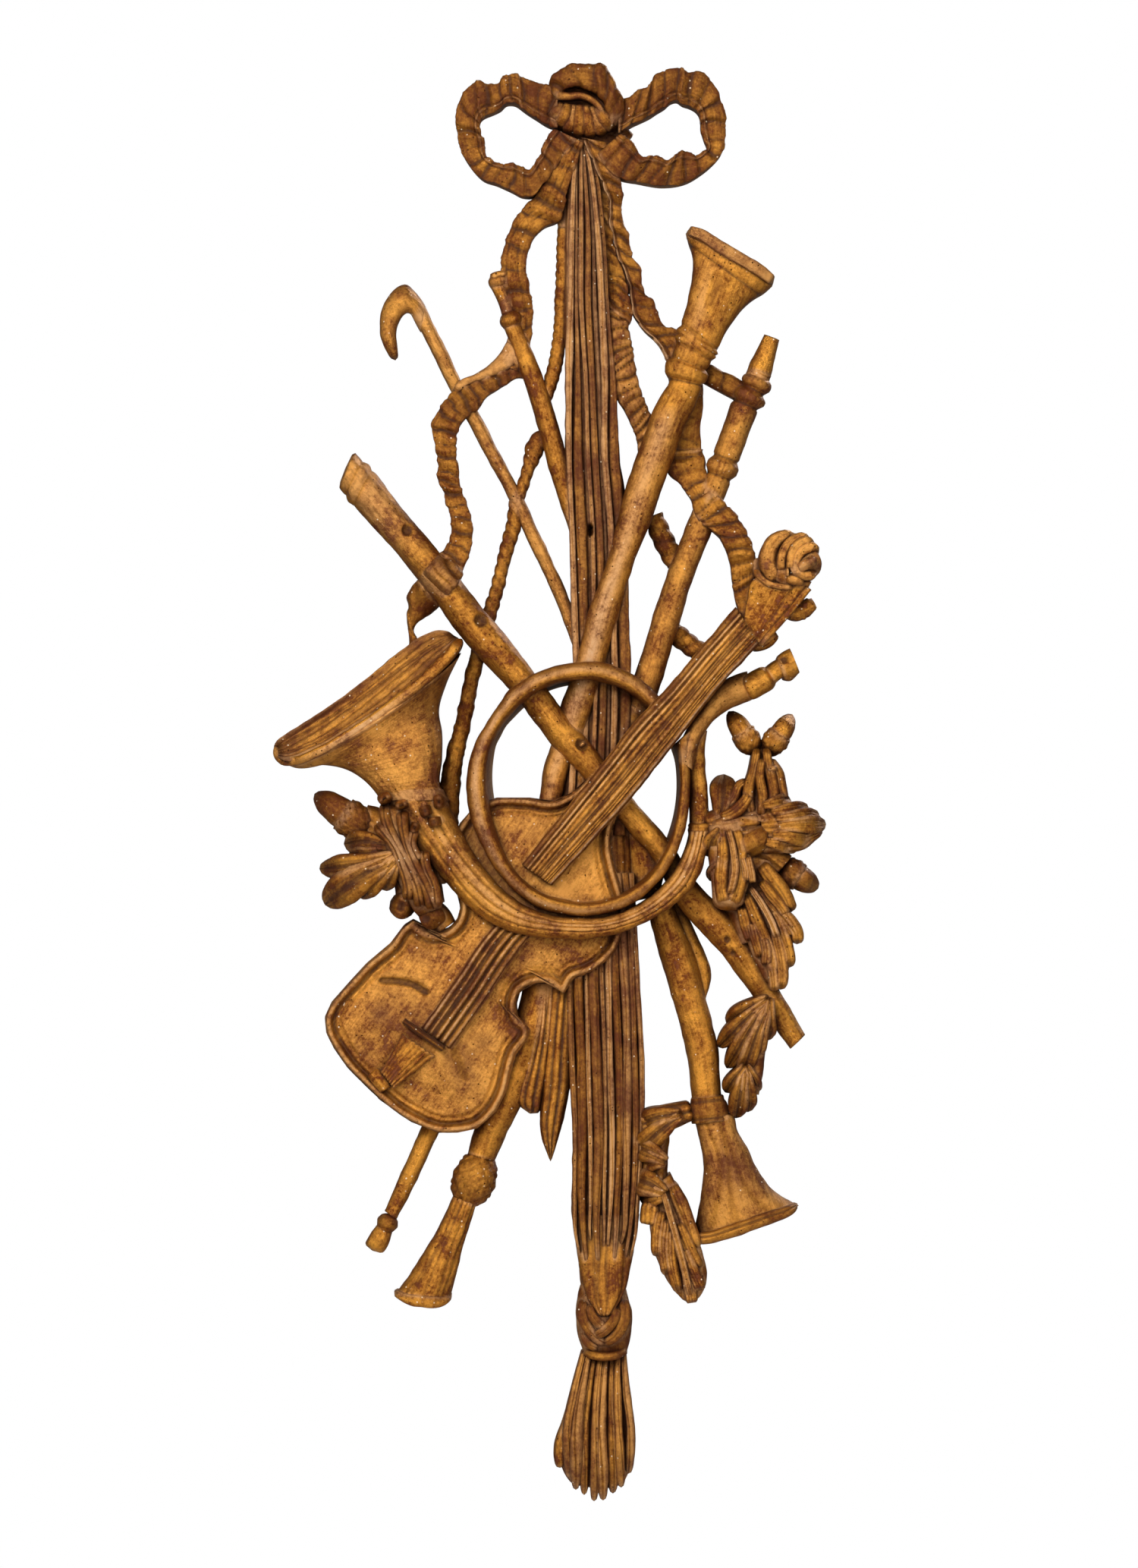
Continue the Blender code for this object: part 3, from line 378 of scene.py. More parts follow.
def shell(points, paint, facing, flow):
    """Rings of points as a closed skin: quads between rings and a fan over each end."""
    n, m = points.shape[:2]
    i = np.arange(n - 1)[:, None] * m
    j = np.arange(m)[None, :]
    k = (j + 1) % m
    quads = np.stack([i + j, i + k, i + k + m, i + j + m], axis=-1).reshape(-1, 4)
    a = np.arange(m)
    b = (a + 1) % m
    first = np.stack([b, a, np.full(m, n * m)], axis=-1)
    last = np.stack([a + (n - 1) * m, b + (n - 1) * m, np.full(m, n * m + 1)], axis=-1)
    tris = np.concatenate([first, last])
    verts = np.concatenate([points.reshape(-1, 3), points[:1].mean(1), points[-1:].mean(1)])
    tint = np.concatenate([paint.reshape(-1, 4), paint[:1].mean(1), paint[-1:].mean(1)])
    flow = np.concatenate([flow.reshape(-1, 3), flow[:1].mean(1), flow[-1:].mean(1)])
    if not facing:
        quads = quads[:, ::-1]
        tris = tris[:, ::-1]
    return verts, quads, tris, tint, flow


def band(pairs, front, tail=0.0, tip=0.0, step=FINE, **more):
    """A length of carving between two edges, given as matched pairs (x, y, x, y), with a
    station every step."""
    p = np.array(pairs, float)
    mid = (p[:, :2] + p[:, 2:]) / 2
    d = np.r_[0.0, np.cumsum(np.maximum(np.hypot(*np.diff(mid, axis=0).T), 1.0))]
    n = max(8, int(d[-1] / step) + 2)
    q = hermite(p, d, np.linspace(0, d[-1], n))
    e = ease(n, tail, tip)
    fall = (0.45 + 0.55 * e) * spread(front, n)
    return carve((q[:, :2] + q[:, 2:]) / 2, (q[:, 2:] - q[:, :2]) / 2 * e[:, None], fall, **more)


def two_edges(left, right, front, count=14, **more):
    """A band from two edges with points of their own, paired at equal shares of length."""
    t = np.linspace(0, 1, count)
    return band(np.c_[curve(left, t), curve(right, t)], front, **more)


def tube(path, widths, front, tail=0.0, tip=0.0, step=FINE, **more):
    """A length of carving along one middle line, with its widths on the pattern."""
    p = np.array(path, float)
    reach = np.hypot(*np.diff(p, axis=0).T).sum()
    n = max(10, int(reach / step) + 2)
    mid = curve(path, np.linspace(0, 1, n))
    run = np.gradient(mid, axis=0)
    run /= np.hypot(run[:, 0], run[:, 1])[:, None]
    e = ease(n, tail, tip)
    half = np.c_[-run[:, 1], run[:, 0]] * (spread(widths, n) * e)[:, None] / 2
    fall = (0.45 + 0.55 * e) * spread(front, n)
    return carve(mid, half, fall, **more)


def knob(centre, along, reach, width, front, **more):
    """A rounded boss: centre, the direction it runs in degrees, its length and width."""
    a = math.radians(along)
    step = np.array([math.cos(a), math.sin(a)]) * reach / 2
    c = np.array(centre, float)
    return tube([tuple(c - step), tuple(c), tuple(c + step)], width, front, tail=0.5, tip=0.5, **more)


def finger(root, tip, width, front, bend=(0, -3), cut=None, **more):
    """One lobe of a leaf: from the root to a rounded tip, channelled by its vein."""
    middle = ((root[0] + tip[0]) / 2 + bend[0], (root[1] + tip[1]) / 2 + bend[1])
    work = [grooved([0.0], (cut or sizes.vein_cut) * 0.6, 0.3), grooved([-0.5, 0.04, 0.5], 0.0012, 0.08,
        0.12)]
    options = {"tail": 0.1, "tip": 0.3, "crown": 0.62, "flat": 0.85, "work": work, "across": 23}
    options.update(more)
    return tube([root, middle, tip], [width * 0.4, width * 0.72, width * 1.04, width * 0.96],
        [front, front * 1.04, front * 0.95, front * 0.76], **options)


def make(name, skins, brown=0.0):
    """Joins skins into one mesh object, paints its wear and gives it to the frame. brown is
    the share of old size left over the whole piece. Each back lies 5 micrometres further in
    than the one before, so that no two share a plane."""
    global laid
    if not skins:
        raise RuntimeError("nothing was carved for " + name)
    verts, quads, tris, tint, ways = [], [], [], [], []
    base = 0
    for points, four, three, wear, flow in skins:
        laid += 1
        points[:, 1] = np.minimum(points[:, 1], -BACK_STEP * laid)
        verts.append(points)
        quads.append(four + base)
        tris.append(three + base)
        tint.append(wear)
        ways.append(flow)
        base += len(points)
    verts = np.concatenate(verts)
    quads = np.concatenate(quads)
    tris = np.concatenate(tris)
    tint = np.clip(np.concatenate(tint) + np.array([0.0, brown, 0.0, 0.0]), 0, 1)
    mesh = bpy.data.meshes.new(name)
    mesh.vertices.add(len(verts))
    mesh.vertices.foreach_set("co", verts.astype(np.float32).ravel())
    mesh.loops.add(quads.size + tris.size)
    mesh.loops.foreach_set("vertex_index", np.concatenate([quads.ravel(), tris.ravel()]).astype(np.int32))
    mesh.polygons.add(len(quads) + len(tris))
    start = np.concatenate([np.arange(len(quads)) * 4, quads.size + np.arange(len(tris)) * 3])
    mesh.polygons.foreach_set("loop_start", start.astype(np.int32))
    mesh.polygons.foreach_set("use_smooth", np.ones(len(start), bool))
    mesh.update(calc_edges=True)
    mesh.validate()
    layer = mesh.attributes.new("wear", "FLOAT_COLOR", "POINT")
    layer.data.foreach_set("color", tint.astype(np.float32).ravel())
    layer = mesh.attributes.new("flow", "FLOAT_VECTOR", "POINT")
    layer.data.foreach_set("vector", np.concatenate(ways).astype(np.float32).ravel())
    piece = bpy.data.objects.new(name, mesh)
    bpy.context.scene.collection.objects.link(piece)
    mesh.materials.append(water_gilding())
    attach(piece, "root")
    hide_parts(NODE)
    return piece


def bow_skins():
    """The knotted bow: two looped ends, a pleated fan, and the hood that crosses them."""
    z = sizes
    left = [(735, 124, 735, 171), (722, 114, 722, 167), (705, 111, 708, 158), (690, 104, 694, 149),
        (675, 99, 678, 138), (663, 102, 668, 138), (655, 112, 660, 145), (643, 112, 650, 150),
        (633, 108, 643, 153), (615, 118, 636, 157), (603, 142, 633, 164), (601, 165, 634, 174),
        (604, 185, 639, 185), (610, 204, 640, 198), (621, 221, 643, 207), (635, 236, 649, 211),
        (656, 244, 661, 216), (675, 253, 678, 216), (690, 260, 690, 223), (702, 260, 698, 225),
        (716, 245, 705, 216), (730, 226, 713, 204), (745, 205, 720, 186), (760, 186, 730, 172)]
    right = [(812, 130, 815, 178), (828, 131, 822, 174), (835, 127, 830, 168), (845, 119, 842, 162),
        (854, 117, 855, 156), (860, 105, 866, 149), (872, 97, 876, 143), (885, 92, 884, 136),
        (897, 91, 892, 134), (908, 97, 900, 139), (917, 95, 906, 141), (930, 100, 913, 144),
        (943, 115, 919, 149), (952, 135, 922, 156), (957, 160, 923, 170), (956, 183, 927, 183),
        (951, 203, 931, 194), (938, 218, 926, 201), (922, 231, 917, 205), (905, 241, 904, 201),
        (890, 245, 893, 202), (872, 246, 882, 212), (855, 244, 868, 207), (840, 241, 858, 206),
        (828, 239, 848, 210), (815, 236, 840, 199), (800, 225, 832, 188), (788, 205, 818, 178)]
    fronts = [z.bow, z.bow * 0.95, z.bow * 0.85, z.bow * 0.72, z.bow * 0.8, z.bow * 0.9, z.bow]

    def straps(t, c):
        return 0.3 + np.clip(1.15 - np.abs(t - 0.18) * 3.2, 0, 0.9) + np.clip(0.8 - np.abs(t - 0.8) * 4, 0,
            0.6)

    skins = [band(left, fronts, crown=0.24, flat=0.6, across=44, toned=straps, step=2.2,
        work=[puckered(9.5, seed=1.0, slant=0.1, cut=0.0016), brushed(3.6, 0.0003),
        beaded(0.62, 0.0016, 0.05), grooved([0.5], 0.0016, 0.05)]), band(right, fronts, crown=0.24,
        flat=0.6, across=44, toned=straps, step=2.2, work=[puckered(10, seed=2.2, slant=-0.1, cut=0.0016),
        brushed(3.6, 0.0003), beaded(0.62, 0.0016, 0.05), grooved([0.5], 0.0016, 0.05)])]
    skins.append(tube([(724, 140), (770, 146), (818, 142)], [46, 78, 60], z.bow * 0.62, crown=0.3,
        tail=0.12, tip=0.12, toned=0.8, across=36))
    skins.append(tube([(738, 205), (770, 190), (808, 205)], [36, 44, 50], z.bow * 0.6, crown=0.3, tail=0.1,
        tip=0.1, toned=0.6))
    hood = [(720, 118, 736, 140), (727, 105, 742, 126), (738, 96, 748, 119), (750, 88, 758, 117),
        (766, 87, 767, 119), (783, 88, 778, 123), (797, 90, 788, 129), (806, 102, 795, 138),
        (813, 118, 799, 148), (821, 132, 801, 158), (822, 150, 803, 168), (816, 170, 804, 178)]
    skins.append(band(hood, [z.hood * 0.85, z.hood, z.hood * 1.02, z.hood, z.hood * 0.8], tail=0.05,
        tip=0.08, crown=0.62, across=40, draft=(-0.05, -0.1), toned=0.8, flat=0.8,
        work=[puckered(13, seed=0.4, slant=0.3, cut=0.001), brushed(4, 0.00035)]))
    skins.append(tube([(727, 128), (738, 129), (750, 130), (764, 129), (778, 134), (790, 144), (798, 160)],
        [15, 11, 9, 8, 8, 8, 6], z.hood * 0.93, tail=0.15, tip=0.15, crown=1.0, worn=0.1, toned=0.2))
    feet = [(724, 160), (735, 170), (748, 178), (763, 183), (780, 184), (796, 180), (809, 172), (819, 163)]
    for k, foot in enumerate(feet):
        head = (741 + 7.6 * k, 139 + 0.8 * k)
        middle = ((head[0] + foot[0]) / 2 + (2 - 0.6 * k), (head[1] + foot[1]) / 2 + 1)
        lift = 1.0 + 0.03 * math.sin(2.3 * k)
        skins.append(tube([head, middle, foot], [9, 15, 17, 15],
            [z.hood * 0.84 * lift, z.hood * 0.92 * lift, z.hood * 0.82], tip=0.16, crown=0.75,
            toned=0.1 + 0.4 * (k in (0, 7)), across=22, work=[brushed(9, 0.0003)]))
    return skins


def ribbon_skins():
    """The two ribbon tails that fall from the bow and tie the instruments."""
    z = sizes
    low = z.ribbon
    skins = [band([(757, 184, 768, 190), (742, 204, 760, 216), (725, 229, 750, 246), (703, 260, 737, 291),
        (683, 281, 717, 300), (672, 300, 704, 313), (667, 316, 698, 326), (661, 340, 694, 345),
        (660, 358, 695, 362), (661, 380, 699, 385), (664, 405, 703, 405), (668, 430, 702, 425),
        (668, 452, 700, 446), (664, 466, 697, 470), (660, 480, 693, 492)],
        [low * 1.75, low * 1.5, low * 1.1, low * 1.1, low, low], crown=0.26, flat=0.6, across=36,
        work=[puckered(13, seed=0.7, slant=-0.1), grooved([-0.4, 0.35], 0.0012, 0.06, 0.2),
        brushed(4.5, 0.0003)], toned=0.2)]
    skins.append(band([(668, 449, 684, 462), (659, 466, 680, 478), (645, 480, 668, 487),
        (626, 493, 640, 499), (608, 500, 618, 506), (594, 514, 600, 520)], low * 1.05, crown=0.5, tip=0.1,
        toned=0.1, worn=0.3))
    skins.append(band([(690, 472, 700, 500), (678, 480, 682, 497), (662, 487, 668, 505),
        (640, 495, 654, 514), (620, 502, 640, 524), (605, 509, 632, 537), (593, 519, 622, 544),
        (583, 532, 613, 552), (573, 548, 606, 562), (568, 563, 602, 573), (572, 580, 601, 583),
        (575, 600, 601, 598), (578, 612, 603, 611), (575, 622, 605, 622), (577, 632, 606, 634),
        (583, 645, 609, 646), (587, 662, 614, 660), (592, 675, 620, 676), (595, 690, 623, 692),
        (594, 705, 623, 706), (590, 717, 621, 722), (583, 725, 616, 738), (575, 735, 607, 757)],
        [low * 0.9, low, low, low, low, low, low * 1.15, low * 1.5], crown=0.3, flat=0.6, across=38,
        work=[puckered(8.5, seed=2.0, slant=0.12, cut=0.0026), brushed(4, 0.0003)],
        toned=lambda t, c: np.clip(0.8 - t * 1.1, 0.15, 1) + 0 * c))
    skins.append(band([(583, 726, 612, 752), (572, 741, 606, 768), (560, 754, 592, 784),
        (549, 763, 580, 799)], [z.flute * 0.8, z.flute * 1.08, z.flute * 1.08, z.flute * 0.75], crown=0.32,
        across=36, flat=0.7, tail=0.1, tip=0.1, work=[puckered(9, seed=1.2, slant=0.1, cut=0.0022)],
        toned=0.3, worn=0.2))
    skins.append(band([(552, 763, 581, 797), (541, 775, 570, 807), (535, 787, 562, 812),
        (538, 797, 554, 817), (536, 810, 547, 824), (537, 825, 545, 832), (539, 837, 549, 839),
        (539, 849, 553, 850)], [low * 1.6, low * 1.2, low, low * 0.9], crown=0.7, across=26,
        work=[puckered(9, seed=0.2, slant=0.9, swell=0.0006)], toned=0.3))
    skins.append(band([(766, 183, 800, 190), (774, 200, 806, 208), (782, 216, 812, 226),
        (789, 234, 819, 243), (797, 248, 821, 256), (803, 262, 820, 268), (804, 276, 819, 281),
        (803, 290, 822, 295), (806, 305, 829, 310), (810, 322, 832, 326), (814, 338, 835, 340),
        (820, 350, 846, 355), (826, 362, 846, 375), (830, 380, 852, 388), (831, 395, 861, 396),
        (833, 412, 866, 410), (840, 424, 872, 424), (850, 437, 884, 432), (864, 450, 893, 434),
        (874, 466, 906, 445), (882, 482, 915, 455)], [low * 1.7, low * 1.5, low * 1.1, low, low, low,
        low * 1.3], crown=0.26, flat=0.65, across=38,
        work=[puckered(12, seed=1.5, slant=0.25, cut=0.0024, swell=0.002), brushed(4, 0.0003),
        beaded(-0.82, 0.0026, 0.07), grooved([-0.62], 0.0016, 0.07)], toned=0.35,
        worn=lambda t, c: 0.9 * (c < -0.74)))
    skins.append(tube([(811, 270), (817, 308), (822, 345), (829, 385)], [14, 17, 17, 12], low * 0.8,
        toned=0.8))
    skins.append(tube([(744, 236), (745, 270), (744, 300)], [18, 18, 16], low, toned=0.8))
    skins.append(tube([(798, 168), (814, 174), (828, 184)], [24, 26, 22], z.bow * 0.5, toned=0.8))
    skins.append(band([(770, 190, 784, 200), (776, 215, 796, 224), (784, 245, 806, 252),
        (789, 275, 808, 280), (790, 300, 808, 305), (792, 330, 813, 335), (795, 360, 824, 362),
        (798, 390, 830, 392), (800, 410, 834, 418), (801, 425, 828, 430)],
        [low * 1.3, low * 1.1, low, low * 1.15], crown=0.25, flat=0.6, across=32, toned=0.15,
        work=[puckered(8, seed=0.9, slant=0.45, cut=0.0026, swell=0.0016, thin=1.5)]))
    skins.append(band([(800, 402, 828, 420), (801, 430, 830, 440), (803, 455, 834, 462),
        (803, 480, 837, 480), (806, 500, 841, 500), (811, 522, 847, 520), (822, 540, 853, 535),
        (830, 556, 859, 552), (838, 575, 864, 572), (841, 600, 864, 600), (845, 622, 860, 622)],
        [z.sheaf * 0.78, z.sheaf * 0.88, z.sheaf * 0.8, z.sheaf * 0.7], crown=0.35, flat=0.7, across=36,
        tail=0.04, tip=0.1, toned=0.15, worn=0.2,
        work=[puckered(7, seed=0.3, slant=-0.5, cut=0.0028, swell=0.0014, thin=1.6)]))
    skins.append(band([(900, 500, 926, 505), (898, 525, 927, 530), (895, 545, 925, 548),
        (890, 560, 923, 562), (887, 580, 924, 582), (885, 597, 925, 598)], [low * 0.9, low, low],
        crown=0.25, flat=0.6, across=30, toned=0.3, work=[puckered(16, seed=2.1, slant=0.4, swell=0.0008)]))
    skins.append(band([(880, 594, 926, 592), (876, 612, 930, 611), (884, 628, 931, 620),
        (893, 634, 934, 626), (902, 646, 938, 640), (910, 658, 944, 650), (913, 670, 953, 661),
        (917, 682, 963, 670), (926, 692, 974, 684), (938, 700, 984, 700), (948, 709, 991, 716),
        (955, 722, 995, 732), (962, 744, 996, 750), (965, 768, 992, 768), (970, 795, 991, 792),
        (975, 812, 991, 810), (979, 828, 990, 825), (982, 836, 988, 834)], [low * 1.1, low * 1.2, low * 1.5,
        z.pipe * 1.12, z.pipe * 1.18, low * 1.5, low * 1.6, low * 2.0], crown=0.3, flat=0.7, across=40,
        toned=0.15, work=[puckered(9, seed=0.6, slant=-0.3, cut=0.0026, swell=0.0016), brushed(4, 0.0003)]))
    skins.append(tube([(915, 483), (935, 494), (955, 504), (978, 516)], [26, 25, 27, 27], low * 1.15,
        crown=0.6, work=[puckered(14, seed=0.8)], toned=0.3))
    return skins


def cord_skins():
    """Twisted cords behind the instruments, and the shepherd's crook."""
    z = sizes
    low = z.cord
    skins = [tube([(744, 280), (742, 350), (740, 400), (738, 440), (734, 470), (728, 495), (716, 530)],
        [18, 18, 18, 18, 18, 19, 18], low * 1.25, work=[twisted(11.5, 1.0, 0.0015)], toned=0.05)]
    skins.append(tube([(724, 572), (708, 584), (700, 605), (690, 635), (679, 668), (677, 690), (670, 715),
        (662, 745), (655, 775), (646, 805), (639, 835)], [26, 25, 17, 17, 19, 20, 19, 18, 18, 19, 20], low,
        work=[twisted(15, 1.2)], toned=0.3))
    skins.append(tube([(640, 835), (628, 868), (622, 890), (616, 923), (609, 956), (600, 992), (594, 1025),
        (590, 1092)], [22, 21, 20, 21, 23, 26, 28, 26], low, work=[twisted(26, 1.0, 0.0014),
        brushed(13, 0.0004)], toned=0.1))
    skins.append(tube([(862, 678), (873, 706), (892, 742)], [24, 29, 26], low, work=[twisted(19, 0.8)],
        toned=0.2))
    skins.append(tube([(885, 830), (908, 848), (945, 872)], [28, 27, 26], low, work=[twisted(16, 0.8)],
        toned=0.3))
    skins.append(band([(515, 473, 525, 471), (507, 458, 523, 455), (502, 445, 522, 442),
        (500, 430, 523, 430), (501, 416, 527, 420), (505, 403, 531, 414), (511, 391, 535, 411),
        (520, 380, 538, 411), (533, 373, 541, 413), (545, 380, 545, 420), (554, 391, 549, 428),
        (563, 408, 556, 440)], [z.crook * 0.75, z.crook, z.crook, z.crook * 0.9, z.crook * 0.75, z.staff],
        tail=0.05, tip=0.05, across=30, crown=1.0, worn=0.1, toned=0.1))
    skins.append(tube([(546, 398), (577, 458), (602, 510), (625, 552), (645, 590), (680, 655), (700, 700),
        (735, 775), (765, 850)], [19, 19.5, 19, 18.5, 18, 18, 18, 18, 19], z.staff, tail=0.01, worn=0.2,
        toned=0.1))
    return skins


def oboe_skins():
    """The oboe: beaded reed end, tube, ring and flared bell."""
    z = sizes
    deep = z.oboe
    skins = [knob((657, 370), 75, 24, 27, deep), tube([(645, 366), (657, 362), (669, 360)], [9, 10, 7],
        deep, tail=0.2, tip=0.2), tube([(655, 372), (664, 395), (670, 412)], [20, 17, 18], deep * 0.9),
        knob((673, 421), 68, 26, 29, deep * 1.15),
        tube([(673, 425), (690, 465), (703, 500), (722, 560), (740, 625), (765, 700)], [21, 25, 27, 27, 28],
        deep, toned=0.1)]
    skins.append(two_edges([(852, 1195), (870, 1262), (888, 1323), (905, 1390), (913, 1450)],
        [(884, 1185), (918, 1265), (932, 1323), (945, 1370), (951, 1450)], [deep, deep * 1.1], across=28))
    skins.append(tube([(932, 1443), (934, 1462), (936, 1481)], [44, 52, 50], deep * 1.3, tail=0.1, tip=0.1,
        crown=0.6, across=34, toned=0.5, work=[ringed([7, 31], -0.002, 2.2)]))
    skins.append(two_edges([(914, 1468), (919, 1490), (925, 1515), (927, 1541), (924, 1573), (919, 1605),
        (911, 1636)], [(968, 1468), (972, 1488), (985, 1513), (1000, 1543), (1016, 1565), (1036, 1580),
        (1053, 1590)], [deep * 1.2, deep * 1.25, z.oboe_bell * 0.92, z.oboe_bell * 0.96], crown=0.62,
        across=44, worn=0.15, toned=lambda t, c: 0.8 * np.exp(-((t - 0.5) / 0.3) ** 2)
        * np.exp(-((c - 0.1) / 0.6) ** 2), work=[grooved([-0.55, 0.05, 0.5], 0.0007, 0.1, 0.2)]))
    skins.append(tube([(912, 1632), (935, 1629), (970, 1618), (1008, 1605), (1040, 1594), (1052, 1588)],
        [13, 17, 17, 17, 16, 10], [z.oboe_bell, z.oboe_bell * 1.08, z.oboe_bell * 0.9], tip=0.1, tail=0.06,
        crown=0.9, toned=0.45, work=[grooved([-0.35], 0.0016, 0.2)]))
    skins.append(two_edges([(874, 1185), (890, 1225), (906, 1262), (920, 1300), (927, 1322)],
        [(892, 1182), (916, 1225), (930, 1258), (938, 1280), (931, 1322)], deep * 0.6, tip=0.2))
    return skins


def long_pipe_skins():
    """The long pipe: cap, turned rings, pine cone knop and flared end."""
    z = sizes
    deep = z.pipe
    skins = []
    skins.append(two_edges([(1008, 441), (1000, 456), (990, 475), (980, 499)],
        [(1027, 448), (1022, 470), (1017, 490), (1012, 508)], [deep * 0.9, deep]))
    skins.append(tube([(1004, 488), (996, 507), (988, 522), (984, 530), (972, 562), (962, 590), (943, 640),
        (920, 700), (900, 750), (880, 810), (862, 870), (838, 940)], [28, 36, 36, 35, 34, 34, 34, 35, 36,
        36, 37, 37], deep, across=34, worn=0.1, toned=0.1, tail=0.005,
        work=[ringed([15, 21, 36, 42], 0.0028, 4.0), ringed([8, 28.5, 50], -0.0022, 2.0),
        ringed([135, 142], 0.0026, 4.2), ringed([126, 151], -0.0018, 2.0)]))
    skins.append(two_edges([(700, 1255), (682, 1330), (655, 1420), (636, 1465), (624, 1490), (617, 1520)],
        [(752, 1260), (733, 1330), (701, 1420), (681, 1468), (664, 1502), (652, 1530)], deep, across=30))
    skins.append(tube([(835, 930), (800, 1030), (760, 1140), (735, 1230)], 37, deep, across=30))
    skins.append(knob((625, 1554), 112, 78, 58, z.cone, across=40, work=[hatched(15, 0.0019)], crown=1.0,
        toned=0.4))
    skins.append(two_edges([(597, 1576), (583, 1607), (562, 1644), (540, 1679), (520, 1706)],
        [(628, 1585), (618, 1618), (609, 1646), (601, 1681), (593, 1713)], [deep, deep * 1.02, deep * 1.1],
        crown=0.75, across=44, work=[grooved([-0.62, -0.3, 0.02, 0.36, 0.7], 0.001, 0.07, 0.15)]))
    skins.append(tube([(519, 1703), (540, 1711), (562, 1714), (584, 1713), (595, 1707)], [8, 14, 16, 15, 9],
        [deep * 0.85, deep * 1.12, deep * 1.12, deep * 0.85], tail=0.06, tip=0.06, crown=0.5))
    return skins


def stick_skins():
    """The short stick and its cup."""
    deep = sizes.oboe
    skins = []
    skins.append(two_edges([(566, 1465), (554, 1489), (530, 1542), (507, 1596)],
        [(592, 1465), (579, 1492), (547, 1560), (522, 1607)], deep * 0.85))
    skins.append(knob((510, 1613), 25, 29, 24, deep, toned=0.3))
    skins.append(two_edges([(498, 1612), (486, 1629), (478, 1643)], [(518, 1622), (512, 1640), (502, 1656)],
        [deep * 0.85, deep, deep * 0.9], tip=0.2, tail=0.1))
    return skins


def trumpet_skins():
    """The trumpet, with a pale worn shaft and a rubbed oval on its bell."""
    z = sizes
    deep = z.trumpet
    bell = z.trumpet_bell
    body = [(904, 309, 1017, 378), (906, 318, 1009, 385), (911, 332, 994, 394), (913, 348, 981, 405),
        (912, 366, 969, 420), (908, 388, 958, 436), (902, 412, 950, 452), (896, 432, 944, 464),
        (892, 448, 939, 473), (889, 459, 935, 481), (885, 470, 931, 489), (882, 482, 927, 497),
        (881, 492, 925, 503), (881, 503, 924, 512), (869, 525, 916, 534), (859, 545, 909, 548),
        (850, 570, 900, 568), (840, 600, 889, 600), (825, 642, 872, 645), (812, 690, 857, 690),
        (795, 755, 834, 745), (783, 785, 824, 780), (774, 810, 815, 812), (765, 850, 805, 850),
        (748, 907, 789, 905), (738, 932, 776, 950), (727, 980, 763, 985), (717, 1010, 748, 1020),
        (710, 1060, 738, 1060)]

    def rubbed(t, c):
        return 0.95 * np.exp(-((t - 0.066) / 0.026) ** 4 - ((c + 0.02) / 0.17) ** 2)

    def paled(t, c):
        bell_patch = 0.3 * np.exp(-((c + 0.35) / 0.35) ** 2 - ((t - 0.1) / 0.07) ** 2)
        shaft = np.exp(-((c + 0.15) / 0.5) ** 2) * np.clip((t - 0.27) * 20, 0, 1)
        return np.clip(bell_patch + shaft * (0.75 + 0.25 * np.sin(t * 11)) - 2 * rubbed(t, c), 0, 1)

    skins = [band(body, [bell * 0.95, bell, bell * 0.96, deep * 1.04, deep, deep, deep, deep * 0.97,
        deep * 0.93, deep * 0.85, deep * 0.78], crown=[0.5, 0.62, 0.9, 1, 1, 1, 1], across=48, worn=paled,
        toned=rubbed, draft=(-0.05, -0.02), work=[ringed([117, 124], 0.0026, 3.2),
        ringed([154, 160, 166], 0.0030, 4.0), ringed([16, 110, 120.5, 130, 147, 173], -0.0018, 1.7)])]
    skins.append(tube([(905, 306), (921, 312), (946, 328), (975, 345), (1000, 360), (1019, 374)],
        [13, 15, 16, 16, 15, 12], [bell * 0.97, bell * 1.03, bell * 1.04, bell * 1.02, bell * 0.95],
        tail=0.04, tip=0.04, crown=0.45, flat=0.6, across=30, worn=0.3, toned=0.3))
    return skins


def flute_skins():
    """The flute that crosses behind the ring, with its finger holes and cut mouth."""
    deep = sizes.flute
    flute = [(445, 640, 465, 593), (452, 649, 474, 603), (462, 662, 486, 616), (476, 678, 500, 630),
        (495, 698, 519, 656), (515, 720, 537, 678), (535, 745, 557, 702), (568, 785, 590, 740),
        (600, 830, 622, 785), (640, 876, 660, 829), (671, 908, 690, 868), (705, 952, 726, 915),
        (733, 988, 754, 950), (765, 1020, 786, 990), (790, 1050, 815, 1025)]
    holes = [(538, 700, 6.5), (635, 818, 8.0), (767, 981, 7.5), (958, 1238, 4.5), (965, 1256, 3.5)]
    skins = [band(flute, deep, across=40, tail=0.012,
        worn=lambda t, c: 0.4 * np.exp(-((t - 0.1) / 0.13) ** 2) * (np.abs(c) < 0.8),
        work=[ringed([28], 0.0016, 5.0), ringed([19, 37], -0.0008, 2.0), drilled(holes, 0.005)])]
    skins.append(two_edges([(790, 1050), (815, 1080), (864, 1136), (890, 1188), (951, 1257), (992, 1313),
        (1041, 1382)], [(815, 1025), (833, 1052), (876, 1100), (920, 1165), (969, 1212), (1012, 1278),
        (1061, 1363)], [deep, deep * 0.9, deep * 0.8, deep * 0.75], across=34,
        work=[drilled(holes, 0.004)]))
    skins.append(knob((767, 981), 45, 10, 9, deep * 1.0, worn=0.5))
    return skins


